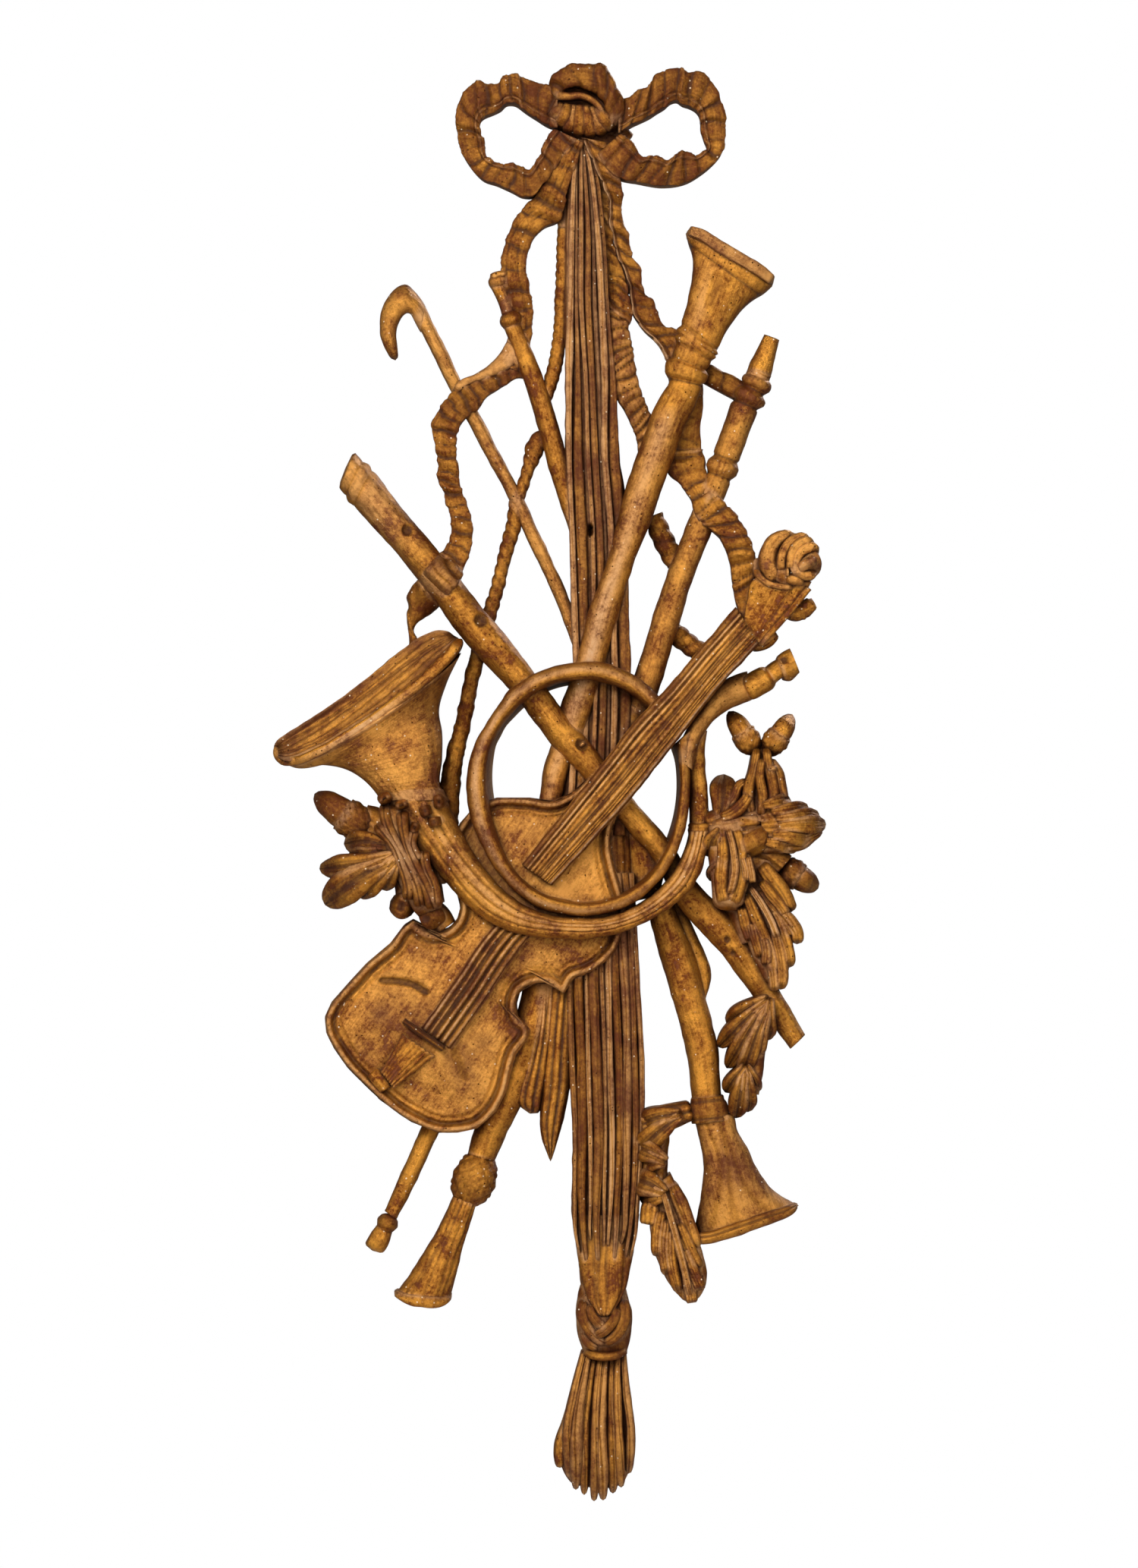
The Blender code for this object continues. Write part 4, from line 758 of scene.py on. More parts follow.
def sheaf_skins():
    """The reeded sheaf with its nail hole, gathered into a smooth collar at its foot."""
    z = sizes
    deep = z.sheaf
    left = [(757, 186), (750, 225), (747, 260), (745, 330), (745, 400), (745, 520), (746, 640), (752, 720),
        (755, 790), (757, 900), (745, 1000), (738, 1100), (748, 1300), (752, 1440), (755, 1520),
        (754, 1610), (762, 1656), (767, 1682), (763, 1708), (776, 1735)]
    right = [(773, 186), (786, 225), (793, 260), (797, 310), (800, 400), (812, 520), (817, 600), (824, 650),
        (828, 720), (829, 800), (829, 860), (832, 1000), (834, 1150), (842, 1313), (847, 1456), (844, 1540),
        (841, 1612), (835, 1645), (829, 1675), (825, 1703), (814, 1740)]
    nail = [(778, 696, 3.2), (778, 702, 3.2)]
    # The base shows in the gaps between the reeds and is fully browned: size and painted shade between the
    # reeds.
    skins = [two_edges(left, right, [deep * 0.8, deep * 0.88, deep * 0.88, deep * 0.9, deep * 0.88],
        count=34, crown=0.5, across=54, toned=1.0, step=5.0, nail=nail, work=[reeded(9, 0.002, 0.10)])]
    rows = [186, 230, 300, 400, 500, 600, 700, 800, 900, 1000, 1100]
    upper = [([762, 757, 754, 752, 750, 750, 754, 757, 760, 756, 750], [5, 7, 8, 10, 8, 7, 8, 9, 9, 9, 9],
        1.0, 1.0), ([764, 760, 760, 760, 762, 762, 766, 769, 771, 768, 762],
        [3, 4, 5, 6, 10, 14, 14, 13, 13, 13, 13], 0.95, 0.1),
        ([766, 766, 766, 766, 772, 775, 781, 783, 785, 782, 776], [4, 6, 7, 6, 6, 6, 6, 6, 6, 6, 6], 1.02,
        0.6), ([768, 771, 775, 775, 780, 784, 790, 793, 795, 792, 786], [4, 6, 8, 9, 9, 10, 10, 10, 10, 10,
        10], 0.98, 0.2), ([769, 775, 781, 784, 789, 792, 797, 800, 802, 800, 794],
        [3, 5, 6, 7, 6, 6, 6, 6, 6, 6, 6], 0.9, 0.0),
        ([770, 779, 787, 793, 797, 797, 805, 808, 810, 808, 802], [5, 7, 9, 10, 9, 9, 10, 9, 9, 9, 9], 1.04,
        0.9), ([772, 785, 793, 799, 807, 809, 817, 821, 824, 822, 816], [5, 7, 8, 7, 12, 15, 16, 15, 15, 15,
        15], 0.94, 0.1)]
    for k, (xs, widths, lift, bald) in enumerate(upper):
        skins.append(tube(list(zip(xs, rows)), widths, [deep * lift * 0.93, deep * lift, deep * lift],
            crown=0.7, flat=0.8, across=17, worn=bald * 0.6, toned=0.8 - 0.5 * bald,
            step=3.0 if k == 2 else 8.0, nail=nail,
            work=[grooved([(-0.3, 0.3, 0.0)[k % 3]], 0.0009, 0.12, 0.3)]))
    rows = [1150, 1200, 1300, 1400, 1500, 1580, 1625, 1665]
    lower = ((0.02, 9, 0.98, 0.2), (0.13, 13, 1.04, 0.0), (0.25, 8, 1.0, 0.9), (0.36, 14, 1.06, 0.1),
        (0.47, 8, 1.0, 0.6), (0.56, 9, 1.07, 1.0), (0.67, 13, 1.02, 0.0), (0.79, 12, 1.06, 0.5),
        (0.90, 10, 1.0, 0.1), (0.985, 8, 0.96, 0.6))
    for k, (share, width, lift, bald) in enumerate(lower):
        near = [742, 750, 750, 753, 756, 756, 758, 766]
        far = [832, 836, 842, 846, 846, 842, 838, 828]
        xs = [n + (f - n) * (share + 0.012 * math.sin(1.9 * j + 2.3 * k)) for j, (n,
            f) in enumerate(zip(near, far))]
        rows[-1] = 1662 + 16 * math.sin(2.4 * k)
        skins.append(tube(list(zip(xs, rows)), [width, width * 1.1, width, width * 0.9, width, width * 0.9,
            width * 0.7, width * 0.3], [deep * lift, deep * lift * 1.04, deep * lift], crown=0.9, across=17,
            worn=bald * 0.6, tip=0.05, step=8.0, toned=0.7 - 0.5 * bald,
            work=[grooved([(-0.35, 0.3, 0.0)[k % 3]], 0.0013, 0.12, 0.3)]))
    skins.append(two_edges([(754, 1600), (761, 1656), (766, 1682), (772, 1704), (793, 1734)],
        [(843, 1600), (835, 1650), (829, 1675), (824, 1700), (801, 1734)], [deep * 0.97, deep, deep * 1.12,
        z.knot * 1.08], crown=0.55, across=48, toned=0.1, tip=0.04,
        work=[grooved([-0.62, -0.2, 0.25, 0.68], 0.0012, 0.08, 0.2)]))
    return skins


def cloth_skins():
    """Two ends of folded cloth beside the sheaf."""
    deep = sizes.drape
    skins = []
    skins.append(two_edges([(705, 1290), (700, 1370), (690, 1410), (681, 1445), (684, 1462)],
        [(735, 1290), (728, 1370), (722, 1410), (716, 1450), (712, 1474)], deep, tip=0.08, across=32,
        step=5.0, work=[reeded(3, 0.003, 0.1)]))
    skins.append(two_edges([(724, 1300), (718, 1370), (714, 1430), (712, 1490), (722, 1530)],
        [(760, 1300), (756, 1370), (752, 1430), (742, 1475), (729, 1532)], deep * 1.05, tip=0.15, across=32,
        step=5.0, work=[reeded(3, 0.003, 0.1)]))
    return skins


def knot_skins():
    """The plaited knot: long bands crossing on a ball, and the ring under it."""
    deep = sizes.knot
    skins = []
    skins.append(two_edges([(768, 1684), (761, 1708), (759, 1730), (761, 1752), (768, 1780)],
        [(822, 1684), (828, 1708), (833, 1730), (832, 1752), (826, 1780)],
        [deep * 0.75, deep * 0.9, deep * 0.98, deep * 0.85], crown=0.7, across=44, tail=0.1, toned=0.9))
    for path, width, lift in (([(768, 1708), (769, 1736), (784, 1758), (806, 1772)], 15, 1.0),
            ([(822, 1708), (823, 1734), (810, 1758), (788, 1771)], 16, 1.03),
            ([(776, 1714), (781, 1731), (796, 1746), (810, 1752)], 12, 1.04),
            ([(815, 1718), (808, 1737), (794, 1752), (778, 1759)], 13, 1.08),
            ([(766, 1752), (776, 1768), (792, 1776)], 11, 0.95)):
        skins.append(tube(path, [width * 0.7, width, width, width * 0.6], [deep * lift * 0.93, deep * lift,
            deep * lift * 0.95], tail=0.12, tip=0.2, crown=0.65, toned=0.75, across=28,
            work=[grooved([0.0], 0.0009, 0.12)]))
    skins.append(tube([(768, 1778), (781, 1783), (797, 1785), (813, 1783), (827, 1777)], [8, 11, 11, 11, 8],
        [deep * 0.75, deep * 0.95, deep * 0.98, deep * 0.95, deep * 0.75], tail=0.05, tip=0.05, toned=0.4))
    return skins


def tassel_skins():
    """The tassel: uneven strands laid over a fluted body."""
    z = sizes
    skins = []
    skins.append(two_edges([(766, 1780), (757, 1816), (748, 1855), (743, 1888), (738, 1915), (743, 1940),
        (758, 1962)], [(826, 1780), (829, 1825), (833, 1866), (834, 1909), (831, 1930), (825, 1948),
        (812, 1965)], [z.tassel * 0.72, z.tassel * 0.85, z.tassel * 0.85, z.tassel * 0.66], crown=0.45,
        across=54, toned=0.8, tip=0.05, step=4.0, work=[reeded(8, 0.0025, 0.05)]))
    feet = [(752, 1950), (759, 1965), (770, 1972), (783, 1980), (795, 1979), (808, 1970), (819, 1962),
        (828, 1944)]
    for k, foot in enumerate(feet):
        top = 769 + 7.5 * k
        wide = 748 + 11.6 * k + 2.2 * math.sin(2.9 * k)
        lift = z.tassel * (1.0 + 0.05 * math.sin(2.3 * k))
        broad = 13 + 3 * math.sin(1.7 * k)
        skins.append(tube([(top, 1782), ((top + wide) / 2 - 1, 1830), (wide, 1885),
            ((wide + foot[0]) / 2, 1925), foot], [7, 10, broad, broad * 1.1, 11],
            [lift * 0.8, lift, lift * 1.05, lift, lift * 0.7], tip=0.1, crown=0.9, across=18, step=4.0,
            work=[grooved([(-0.4, 0.3, 0.0)[k % 3]], 0.0016, 0.12, 0.3)],
            toned=0.25 + 0.25 * math.sin(3.1 * k), worn=0.15 + 0.15 * math.sin(2.1 * k)))
    skins.append(tube([(757, 1840), (747, 1880), (739, 1905), (738, 1936)], [12, 16, 18, 12],
        z.tassel * 0.72, tip=0.12, tail=0.1, work=[reeded(2, 0.001)]))
    return skins


def horn_skins():
    """The hunting horn: coiled ring, outer tube, open bell and mouthpipe."""
    z = sizes
    deep = z.ring
    ring = [(884, 952, 862, 955), (872, 924, 856, 942), (862, 912, 845, 932), (845, 897, 830, 920),
        (825, 885, 810, 910), (805, 877, 790, 904), (785, 873, 775, 902), (765, 873, 760, 902),
        (745, 876, 745, 904), (725, 881, 730, 908), (703, 889, 712, 916), (688, 898, 700, 925),
        (672, 909, 688, 935), (662, 923, 678, 945), (650, 940, 667, 957), (638, 960, 660, 970),
        (627, 980, 654, 982), (620, 1000, 651, 997), (616, 1030, 649, 1025), (618, 1062, 652, 1055),
        (625, 1090, 657, 1080), (636, 1115, 665, 1107), (650, 1140, 675, 1130), (670, 1165, 688, 1150),
        (690, 1183, 703, 1163), (712, 1196, 722, 1173), (740, 1204, 746, 1180), (770, 1207, 770, 1183),
        (800, 1203, 795, 1180), (825, 1194, 818, 1173), (850, 1178, 840, 1160), (870, 1158, 857, 1144),
        (888, 1130, 871, 1122), (900, 1100, 882, 1095), (906, 1070, 889, 1068), (908, 1040, 892, 1040),
        (909, 1000, 890, 1005), (912, 960, 884, 985)]

    def crest(t, c):
        return 0.7 * np.exp(-((c + 0.35) / 0.3) ** 2) * np.clip(1.2 - np.abs(t - 0.4) * 2.4, 0.1, 1)

    skins = [band(ring, deep, draft=(-0.04, 0.42), across=36, crown=1.15, worn=crest,
        toned=lambda t, c: 0.9 * (c > 0.5) + 0.35 + 0 * t)]
    skins.append(two_edges([(503, 1040), (512, 1066), (535, 1100), (563, 1132), (594, 1168), (630, 1203),
        (668, 1224), (719, 1234), (757, 1236), (800, 1232), (853, 1213), (886, 1192), (914, 1166),
        (927, 1135), (936, 1095)], [(585, 1040), (592, 1060), (604, 1085), (622, 1118), (646, 1152),
        (674, 1180), (700, 1196), (725, 1204), (760, 1208), (800, 1206), (850, 1185), (876, 1162),
        (893, 1138), (902, 1118), (908, 1095)], [z.horn * 0.97, z.horn, z.horn, z.horn * 0.95,
        z.horn * 0.9], count=24, crown=0.8, across=50, work=[grooved([-0.42, 0.05, 0.5], 0.0012, 0.07, 0.1),
        brushed(23, 0.0003)], worn=lambda t, c: 0.75 * np.exp(-((c - 0.2) / 0.45) ** 2)
        * (0.35 + 0.65 * t)))
    skins.append(tube([(921, 1100), (920, 1040), (917, 985), (919, 962)], [25, 24, 22, 24], deep * 0.8))
    skins.append(tube([(922, 1083), (922, 1093), (923, 1104)], [28, 31, 32], deep * 0.9, tail=0.2, tip=0.2,
        work=[ringed([4], 0.0012, 2.5), brushed(9, 0.0006)], toned=0.2))
    skins.append(two_edges([(893, 1000), (898, 975), (908, 955), (926, 930), (944, 905), (960, 893),
        (984, 885)], [(912, 1015), (917, 990), (924, 972), (938, 952), (952, 940), (972, 930), (990, 922)],
        [deep, deep * 0.95, deep * 0.85, deep * 0.78], across=34, worn=0.2))
    skins.append(tube([(978, 911), (997, 901), (1020, 887)], [30, 35, 30], deep * 0.84, tail=0.16, tip=0.3,
        across=34))
    skins.append(tube([(1012, 892), (1024, 883), (1032, 879)], [25, 25, 26], deep * 0.76, across=28))
    skins.append(band([(1021, 868, 1030, 896), (1030, 860, 1041, 898), (1040, 855, 1053, 887)], deep * 0.78,
        tail=0.1, across=32, work=[drilled([(1031, 870, 5)], 0.003)]))
    skins += bell_skins()
    return skins


def bell_skins():
    """The horn's bell: a flaring skin whose mouth is hollowed, its rim and its far wall."""
    z = sizes
    low = [(503, 1055), (498, 1047), (483, 1030), (462, 1016), (424, 1007), (385, 1009), (362, 996)]
    high = [(592, 1055), (580, 1035), (582, 1000), (582, 964), (578, 938), (588, 900), (607, 860)]
    n, inside = 90, 40
    t = np.linspace(0, 1, n)
    a = curve(low, t)
    b = curve(high, t)
    front = spread([z.horn * 0.97, z.horn, z.horn * 1.0, z.lip], n)
    axis = np.array([-0.53, -0.85])
    wall = z.wall / UNIT
    inner = np.linspace(n - 1, n * 0.45, inside)
    index = np.r_[np.arange(n), inner].astype(int)
    depth_in = np.r_[np.zeros(n), np.minimum(wall * (1 + 0.9 * np.linspace(0, 1, inside) ** 0.7 * 2),
        3 * wall)]
    angle = np.linspace(math.pi, 0, 61)
    c = np.cos(angle)[None, :]
    s = np.sin(angle)[None, :]
    mid = ((a + b) / 2)[index]
    half = ((b - a) / 2)[index]
    size = np.hypot(half[:, 0], half[:, 1])[:, None]
    half = half * (size - depth_in[:, None]) / size
    flare = (t ** 2)[index][:, None]
    f = front[index][:, None]
    rise = np.minimum(0.62 * size * UNIT, 0.8 * f)
    plan = (mid[:, None, :] + half[:, None, :] * c[..., None] - axis
        * (25 * flare * s * (1 - 0.35 * c))[..., None])
    depth = f - depth_in[:, None] * UNIT - rise + rise * s
    outside = (np.arange(len(index)) < n)[:, None]
    streak = np.abs(np.sin(math.pi * (5.5 * c + 0.4 * np.sin(4 * t[index])[:, None]))) ** 0.6 - 0.7
    depth = depth + np.where(outside, 0.0008 * streak * (1 - flare), 0.0)
    rim = np.exp(-((np.arange(len(index)) - (n - 4)) / 3.2) ** 2)[:, None]
    depth = depth + 0.0022 * rim * s
    base = np.where(outside, 0.0, 0.014)
    start = place(mid[:, None] - half[:, None], base)
    end = place(mid[:, None] + half[:, None], base)
    points = np.concatenate([start, place(plan, depth), end], axis=1)
    lumps = z.lump * (uneven(points, BROAD_LUMP) + 0.5 * uneven(points, SMALL_LUMP, 3))
    points[:, 1:-1, 1] -= lumps[:, 1:-1]
    m = points.shape[1]
    paint = np.zeros((len(index), m, 4))
    paint[..., 2] = 0.5
    paint[:n, :, 0] = 0.15
    paint[:n, (0, -1), 3] = 1.0
    paint[n:, :, 1] = 1.0
    # More brown where the profile turns to the sides: size and painted shade.
    paint[:n, 1:-1, 1] = 0.55 * (1 - s) ** 1.5
    flow = np.stack([np.broadcast_to(np.linspace(-0.1, 0.1, m), (len(index), m)),
        np.broadcast_to(t[index][:, None] * 0.12, (len(index), m)), np.zeros((len(index), m))], axis=-1)
    skins = [shell(points, paint, True, flow)]
    near = [(366, 1001), (385, 1003), (420, 992), (470, 962), (520, 927), (570, 887), (600, 852),
        (607, 842)]
    far = [(361, 984), (370, 976), (404, 953), (442, 928), (493, 888), (542, 849), (574, 833), (600, 838)]

    # Darker at both ends of the far wall and in streaks down it; the dark strip along its near edge, under
    # the lip, is painted shadow.
    def drawn(t, c):
        ends = 0.9 * np.exp(-((t - 0.03) / 0.1) ** 2) + 0.8 * np.exp(-((t - 0.97) / 0.16) ** 2)
        return ends + 0.45 * np.abs(np.sin(5.3 * c + 1.2 * t)) ** 3 + 0.3 * np.exp(-((c + 0.85) / 0.2) ** 2)

    skins.append(two_edges(near, far, 0.062, crown=0.03, tail=0.05, tip=0.05, draft=(0.0, 0.0), across=80,
        tilt=-0.010, toned=drawn, worn=0.1, work=[grooved([-0.6, -0.35, -0.05, 0.2, 0.42, 0.66, 0.86],
        0.0013, 0.045, 0.1), beaded(0.93, 0.003, 0.06)]))
    skins.append(tube([(377, 974), (367, 984), (367, 995), (374, 1002), (388, 1003), (420, 992), (470, 963),
        (520, 928), (570, 888), (598, 858), (609, 842)], [7, 12, 12, 11, 12, 13, 14, 15, 13],
        [z.lip * 0.4, z.lip * 0.92, z.lip * 1.0, z.lip * 1.02, z.lip * 1.0, z.lip * 0.94], tail=0.04,
        tip=0.05, crown=0.75, across=30, toned=-0.3,
        worn=lambda t, c: 0.9 * np.exp(-((t - 0.45) / 0.22) ** 2) * (c > -0.4)))
    return skins


def violin_outline():
    """The two sides of the violin body, from the tail upwards."""
    left = [(499, 1445), (484, 1431), (459, 1406), (441, 1380), (431, 1360), (429, 1339), (438, 1319),
        (461, 1293), (484, 1268), (515, 1242), (533, 1218), (546, 1210), (556, 1222), (575, 1228),
        (592, 1222), (603, 1210), (607, 1195), (600, 1166), (590, 1146), (592, 1120), (606, 1085),
        (626, 1062), (654, 1051), (698, 1051), (728, 1055), (754, 1044), (784, 1016)]
    right = [(504, 1450), (520, 1463), (543, 1477), (579, 1491), (604, 1491), (630, 1485), (655, 1462),
        (668, 1436), (674, 1411), (681, 1388), (697, 1365), (696, 1350), (683, 1339), (681, 1324),
        (686, 1306), (704, 1296), (724, 1296), (742, 1310), (757, 1288), (773, 1283), (800, 1265),
        (811, 1252), (821, 1225), (826, 1195), (818, 1169), (810, 1141), (805, 1113), (810, 1083),
        (830, 1057)]
    return np.array(left, float), np.array(right, float)


def violin_body():
    """The violin's beaded and arched body, with its sound holes and stains."""
    z = sizes
    left, right = violin_outline()
    tail = np.array([501.0, 1447.0])
    head = np.array([811.0, 1030.0])
    run = (head - tail) / np.hypot(*(head - tail))
    side = np.array([-run[1], run[0]])
    n, m = 210, 140
    t_low, t_high = [np.maximum.accumulate((p - tail) @ run + np.arange(len(p)) * 0.01) for p in (left,
        right)]
    top = min(t_low[-1], t_high[-1])
    t = top * (0.5 - 0.5 * np.cos(np.linspace(0, math.pi, n)))
    low = np.interp(t, t_low, (left - tail) @ side)
    high = np.interp(t, t_high, (right - tail) @ side)
    v = np.sin(np.linspace(-math.pi / 2, math.pi / 2, m))
    w = low[:, None] + (high - low)[:, None] * (v[None, :] + 1) / 2
    plan = tail + run * t[:, None, None] + side * w[..., None]
    share = np.linspace(0, 1, 260)
    rim = np.concatenate([curve(left, share), curve(right, share)])
    gap = np.empty((n, m))
    for row in range(n):
        gap[row] = np.sqrt(((plan[row, :, None, :] - rim[None]) ** 2).sum(-1)).min(-1)
    channel = np.exp(-((gap - 13) / 3.2) ** 2) + 0.5 * np.exp(-((gap - 21) / 2.2) ** 2)
    depth = z.violin + z.bead * np.exp(-((gap - 6) / 5) ** 4) - 0.0028 * channel
    depth = depth + z.arch * (1 - np.exp(-(np.maximum(gap - 12, 0) / 60) ** 2))
    depth = depth - 0.005 * np.exp(-(gap / 2.2) ** 2)

    def slot(points, width, cut):
        """Depth of a narrow cut along a short path on the belly."""
        path = curve(points, np.linspace(0, 1, 60))
        away = np.sqrt(((plan[:, :, None, :] - path[None, None]) ** 2).sum(-1)).min(-1)
        return cut * np.exp(-(away / width) ** 4)

    cuts = slot([(505, 1291), (525, 1292), (545, 1296), (562, 1306)], 4.5, 0.0035)
    cuts = cuts + slot([(600, 1384), (606, 1400), (614, 1418)], 6.0, 0.0012)
    depth = depth - cuts
    pts = place(plan, depth)
    pts[..., 1] -= z.lump * (uneven(pts, BROAD_LUMP) + 0.6 * uneven(pts, 0.012, 3))
    sides = []
    for column in (0, -1):
        foot = plan[:, column]
        rimmed = np.array([0.0, 0.3, 0.6, 0.85, 0.97])
        sides.append(np.stack([place(foot, (z.violin - 0.004) * up * np.ones(n)) for up in rimmed], axis=1))
    points = np.concatenate([sides[0], pts, sides[1][:, ::-1]], axis=1)
    paint = np.zeros(points.shape[:2] + (4,))
    paint[..., 2] = 0.5
    paint[:, :5, 3] = 1 - rimmed
    paint[:, -5:, 3] = 1 - rimmed[::-1]
    # Sound holes and the channel inside the bead get a low level, which the shader darkens with dust and
    # painted shade.
    paint[:, 5:-5, 2] = 0.5 - 0.5 * np.clip(cuts / 0.003 + 0.75 * channel, 0, 1)
    stain = np.zeros_like(gap)
    for x, y, r, deep in ((502, 1335, 16, 0.8), (614, 1415, 20, 0.7), (640, 1372, 18, 0.5),
            (520, 1300, 26, 0.3), (555, 1345, 34, 0.5), (605, 1330, 26, 0.4), (600, 1385, 22, 0.6),
            (690, 1262, 24, 0.4), (560, 1240, 30, 0.4), (640, 1455, 30, 0.3), (480, 1390, 22, 0.4),
            (700, 1090, 26, 0.4), (745, 1180, 30, 0.4), (640, 1110, 30, 0.5)):
        stain = stain + deep * np.exp(-((plan[..., 0] - x) ** 2 + (plan[..., 1] - y) ** 2) / r ** 2)
    # Brown stains in patches, and more brown near the outline, which is partly painted shade on the edge.
    paint[:, 5:-5, 1] = np.clip(stain + 0.35 * np.exp(-(gap / 16) ** 2), 0, 1)
    paint[:, 5:-5, 0] = 0.15 + 0.3 * np.exp(-((gap - 5) / 4) ** 2)
    flow = np.stack([np.broadcast_to(t[:, None] * UNIT, gap.shape), w * UNIT, 0 * w], axis=-1)
    flow = np.concatenate([np.repeat(flow[:, :1], 5, axis=1), flow, np.repeat(flow[:, -1:], 5, axis=1)],
        axis=1)
    return [shell(points, paint, True, flow)]


def strings_and_neck():
    """Strings, bridge, tailpiece and fingerboard."""
    z = sizes
    top = z.violin + z.arch
    skins = []
    fine = [grooved([-0.75, -0.45, -0.15, 0.15, 0.45, 0.75], 0.0011, 0.06)]
    skins.append(band([(533, 1359, 577, 1388), (519, 1383, 548, 1409), (502, 1412, 518, 1434)], top * 1.08,
        crown=0.3, across=44, work=fine, tail=0.02, tip=0.02))
    skins.append(band([(556, 1352, 596, 1380), (600, 1290, 640, 1318), (640, 1232, 684, 1252),
        (668, 1200, 712, 1218)], top * 1.08, crown=0.22, across=70, step=5.0,
        worn=lambda t, c: np.abs(np.sin(2.5 * math.pi * (c + 1))) ** 4 * (0.6 + 0.4 * np.sin(7 * c)),
        toned=lambda t, c: 0.7 - 0.5 * t + 0 * c, work=[reeded(5, 0.0036, 0.02, 0.7),
        grooved([-0.32, 0.2], 0.0016, 0.04)]))
    skins.append(tube([(531, 1341), (558, 1361), (588, 1382)], [9, 11, 9], top * 1.17, crown=0.9, tail=0.05,
        tip=0.05, toned=1.0, work=[grooved([-0.7, 0.7], 0.0024, 0.5)]))
    skins.append(tube([(490, 1409), (501, 1422), (511, 1436)], [16, 20, 16], top * 1.0, crown=0.6, tail=0.1,
        tip=0.1))
    skins.append(two_edges([(688, 1138), (787, 1014), (848, 938), (864, 922), (932, 843), (968, 802)],
        [(728, 1166), (835, 1047), (894, 973), (904, 960), (962, 889), (998, 851)],
        [top * 1.15, z.neck * 0.9, z.neck, z.neck], crown=0.34, across=90, step=6.0,
        worn=lambda t, c: np.abs(np.sin(4 * math.pi * (c + 1))) ** 5 * (0.55 + 0.4 * np.sin(9 * c)),
        toned=lambda t, c: 0.3 + 0.3 * np.sin(7 * c + 1) + 0 * t, work=[reeded(8, 0.0026, 0.035, 0.5),
        grooved([-0.52, 0.13, 0.62], 0.0016, 0.035)]))
    return skins


def scroll_skins():
    """The pegbox, the scroll of five turns and the two pegs."""
    scroll = sizes.scroll
    skins = []
    skins.append(band([(976, 826, 1001, 852), (981, 806, 1020, 832), (984, 788, 1040, 810),
        (988, 770, 1056, 789), (1000, 758, 1068, 768)], [scroll * 0.86, scroll * 0.8, scroll * 0.82,
        scroll * 0.86], crown=0.2, flat=0.6, across=46, work=[grooved([0.45], 0.0012, 0.06)], toned=-0.2))
    skins.append(tube([(994, 750), (1000, 762), (1010, 770), (1024, 774), (1038, 775), (1050, 772)],
        [9, 9, 8, 8, 8, 7], scroll * 0.9, tail=0.15, tip=0.2, crown=0.8, worn=0.3))
    # A low dark strip beside the scroll's left side: painted shade there.
    skins.append(tube([(996, 736), (998, 752), (1008, 766)], [12, 14, 14], scroll * 0.55, toned=1.0))
    skins.append(tube([(1064, 776), (1044, 802), (1022, 827), (1001, 850)], [9, 8, 8, 7], scroll * 0.86,
        crown=0.8))
    skins.append(knob((1041, 739), 20, 76, 70, scroll * 0.93, crown=0.3, flat=0.6, across=40, toned=0.4))
    skins.append(knob((1059, 745), 60, 44, 42, scroll * 1.03, crown=0.12, flat=0.6, across=40, toned=0.3))
    for path, width, lift in (([(1048, 706), (1031, 708), (1019, 716), (1012, 730), (1011, 745),
            (1016, 758), (1028, 767)], [8, 15, 20, 23, 24, 20, 12], 0.92),
            ([(1067, 713), (1053, 709), (1041, 715), (1032, 727), (1028, 742), (1030, 759)],
            [7, 10, 12, 12, 11, 9], 0.97), ([(1072, 720), (1060, 715), (1048, 722), (1041, 735),
            (1039, 748), (1037, 757)], [8, 12, 13, 12, 10, 9], 1.02),
            ([(1076, 735), (1069, 724), (1058, 726), (1050, 735), (1048, 748), (1054, 759), (1066, 760),
            (1074, 750)], [9, 14, 14, 12, 11, 11, 13, 8], 1.03), ([(1032, 764), (1046, 765), (1060, 768)],
            [9, 15, 12], 0.98)):
        skins.append(tube(path, width, scroll * lift, crown=0.8, tail=0.14, tip=0.14, across=28,
            work=[brushed(7, 0.0003)], toned=0.05, worn=0.2))
    skins.append(knob((1061, 745), 60, 28, 26, scroll * 1.1, crown=0.3, flat=0.6, worn=0.5))
    skins.append(knob((1036, 756), 0, 10, 10, scroll * 1.02, crown=0.6, worn=0.3))
    skins.append(tube([(1034, 806), (1048, 806), (1060, 802), (1074, 794)], [14, 26, 24, 13], scroll * 0.72,
        tip=0.1, tail=0.1, crown=0.8, work=[brushed(7, 0.0006)]))
    skins.append(tube([(990, 852), (1003, 848), (1014, 841), (1023, 833)], [14, 19, 19, 13], scroll * 0.7,
        tip=0.15, tail=0.1))
    return skins


def acorn_skins(cup, tip, width, front, brown=0.15):
    """An acorn: a crosshatched cup and the smooth nut standing out of it."""
    cup = np.array(cup, float)
    tip = np.array(tip, float)
    way = tip - cup
    points = [tuple(cup + way * k) for k in (-0.32, -0.05, 0.22, 0.44)]
    nut = [tuple(cup + way * k) for k in (0.05, 0.45, 0.75, 1.0)]
    return [tube(points, [width * 0.6, width * 1.0, width * 1.1, width * 1.04],
        [front, front * 1.05, front * 1.03], tail=0.45, tip=0.12, crown=0.9, across=36,
        work=[hatched(12, 0.0018)], toned=brown + 0.2),
        tube(nut, [width * 0.7, width * 0.9, width * 0.8, width * 0.62], [front * 0.96, front, front * 0.8],
        tip=0.4, crown=0.95, across=34, toned=brown)]


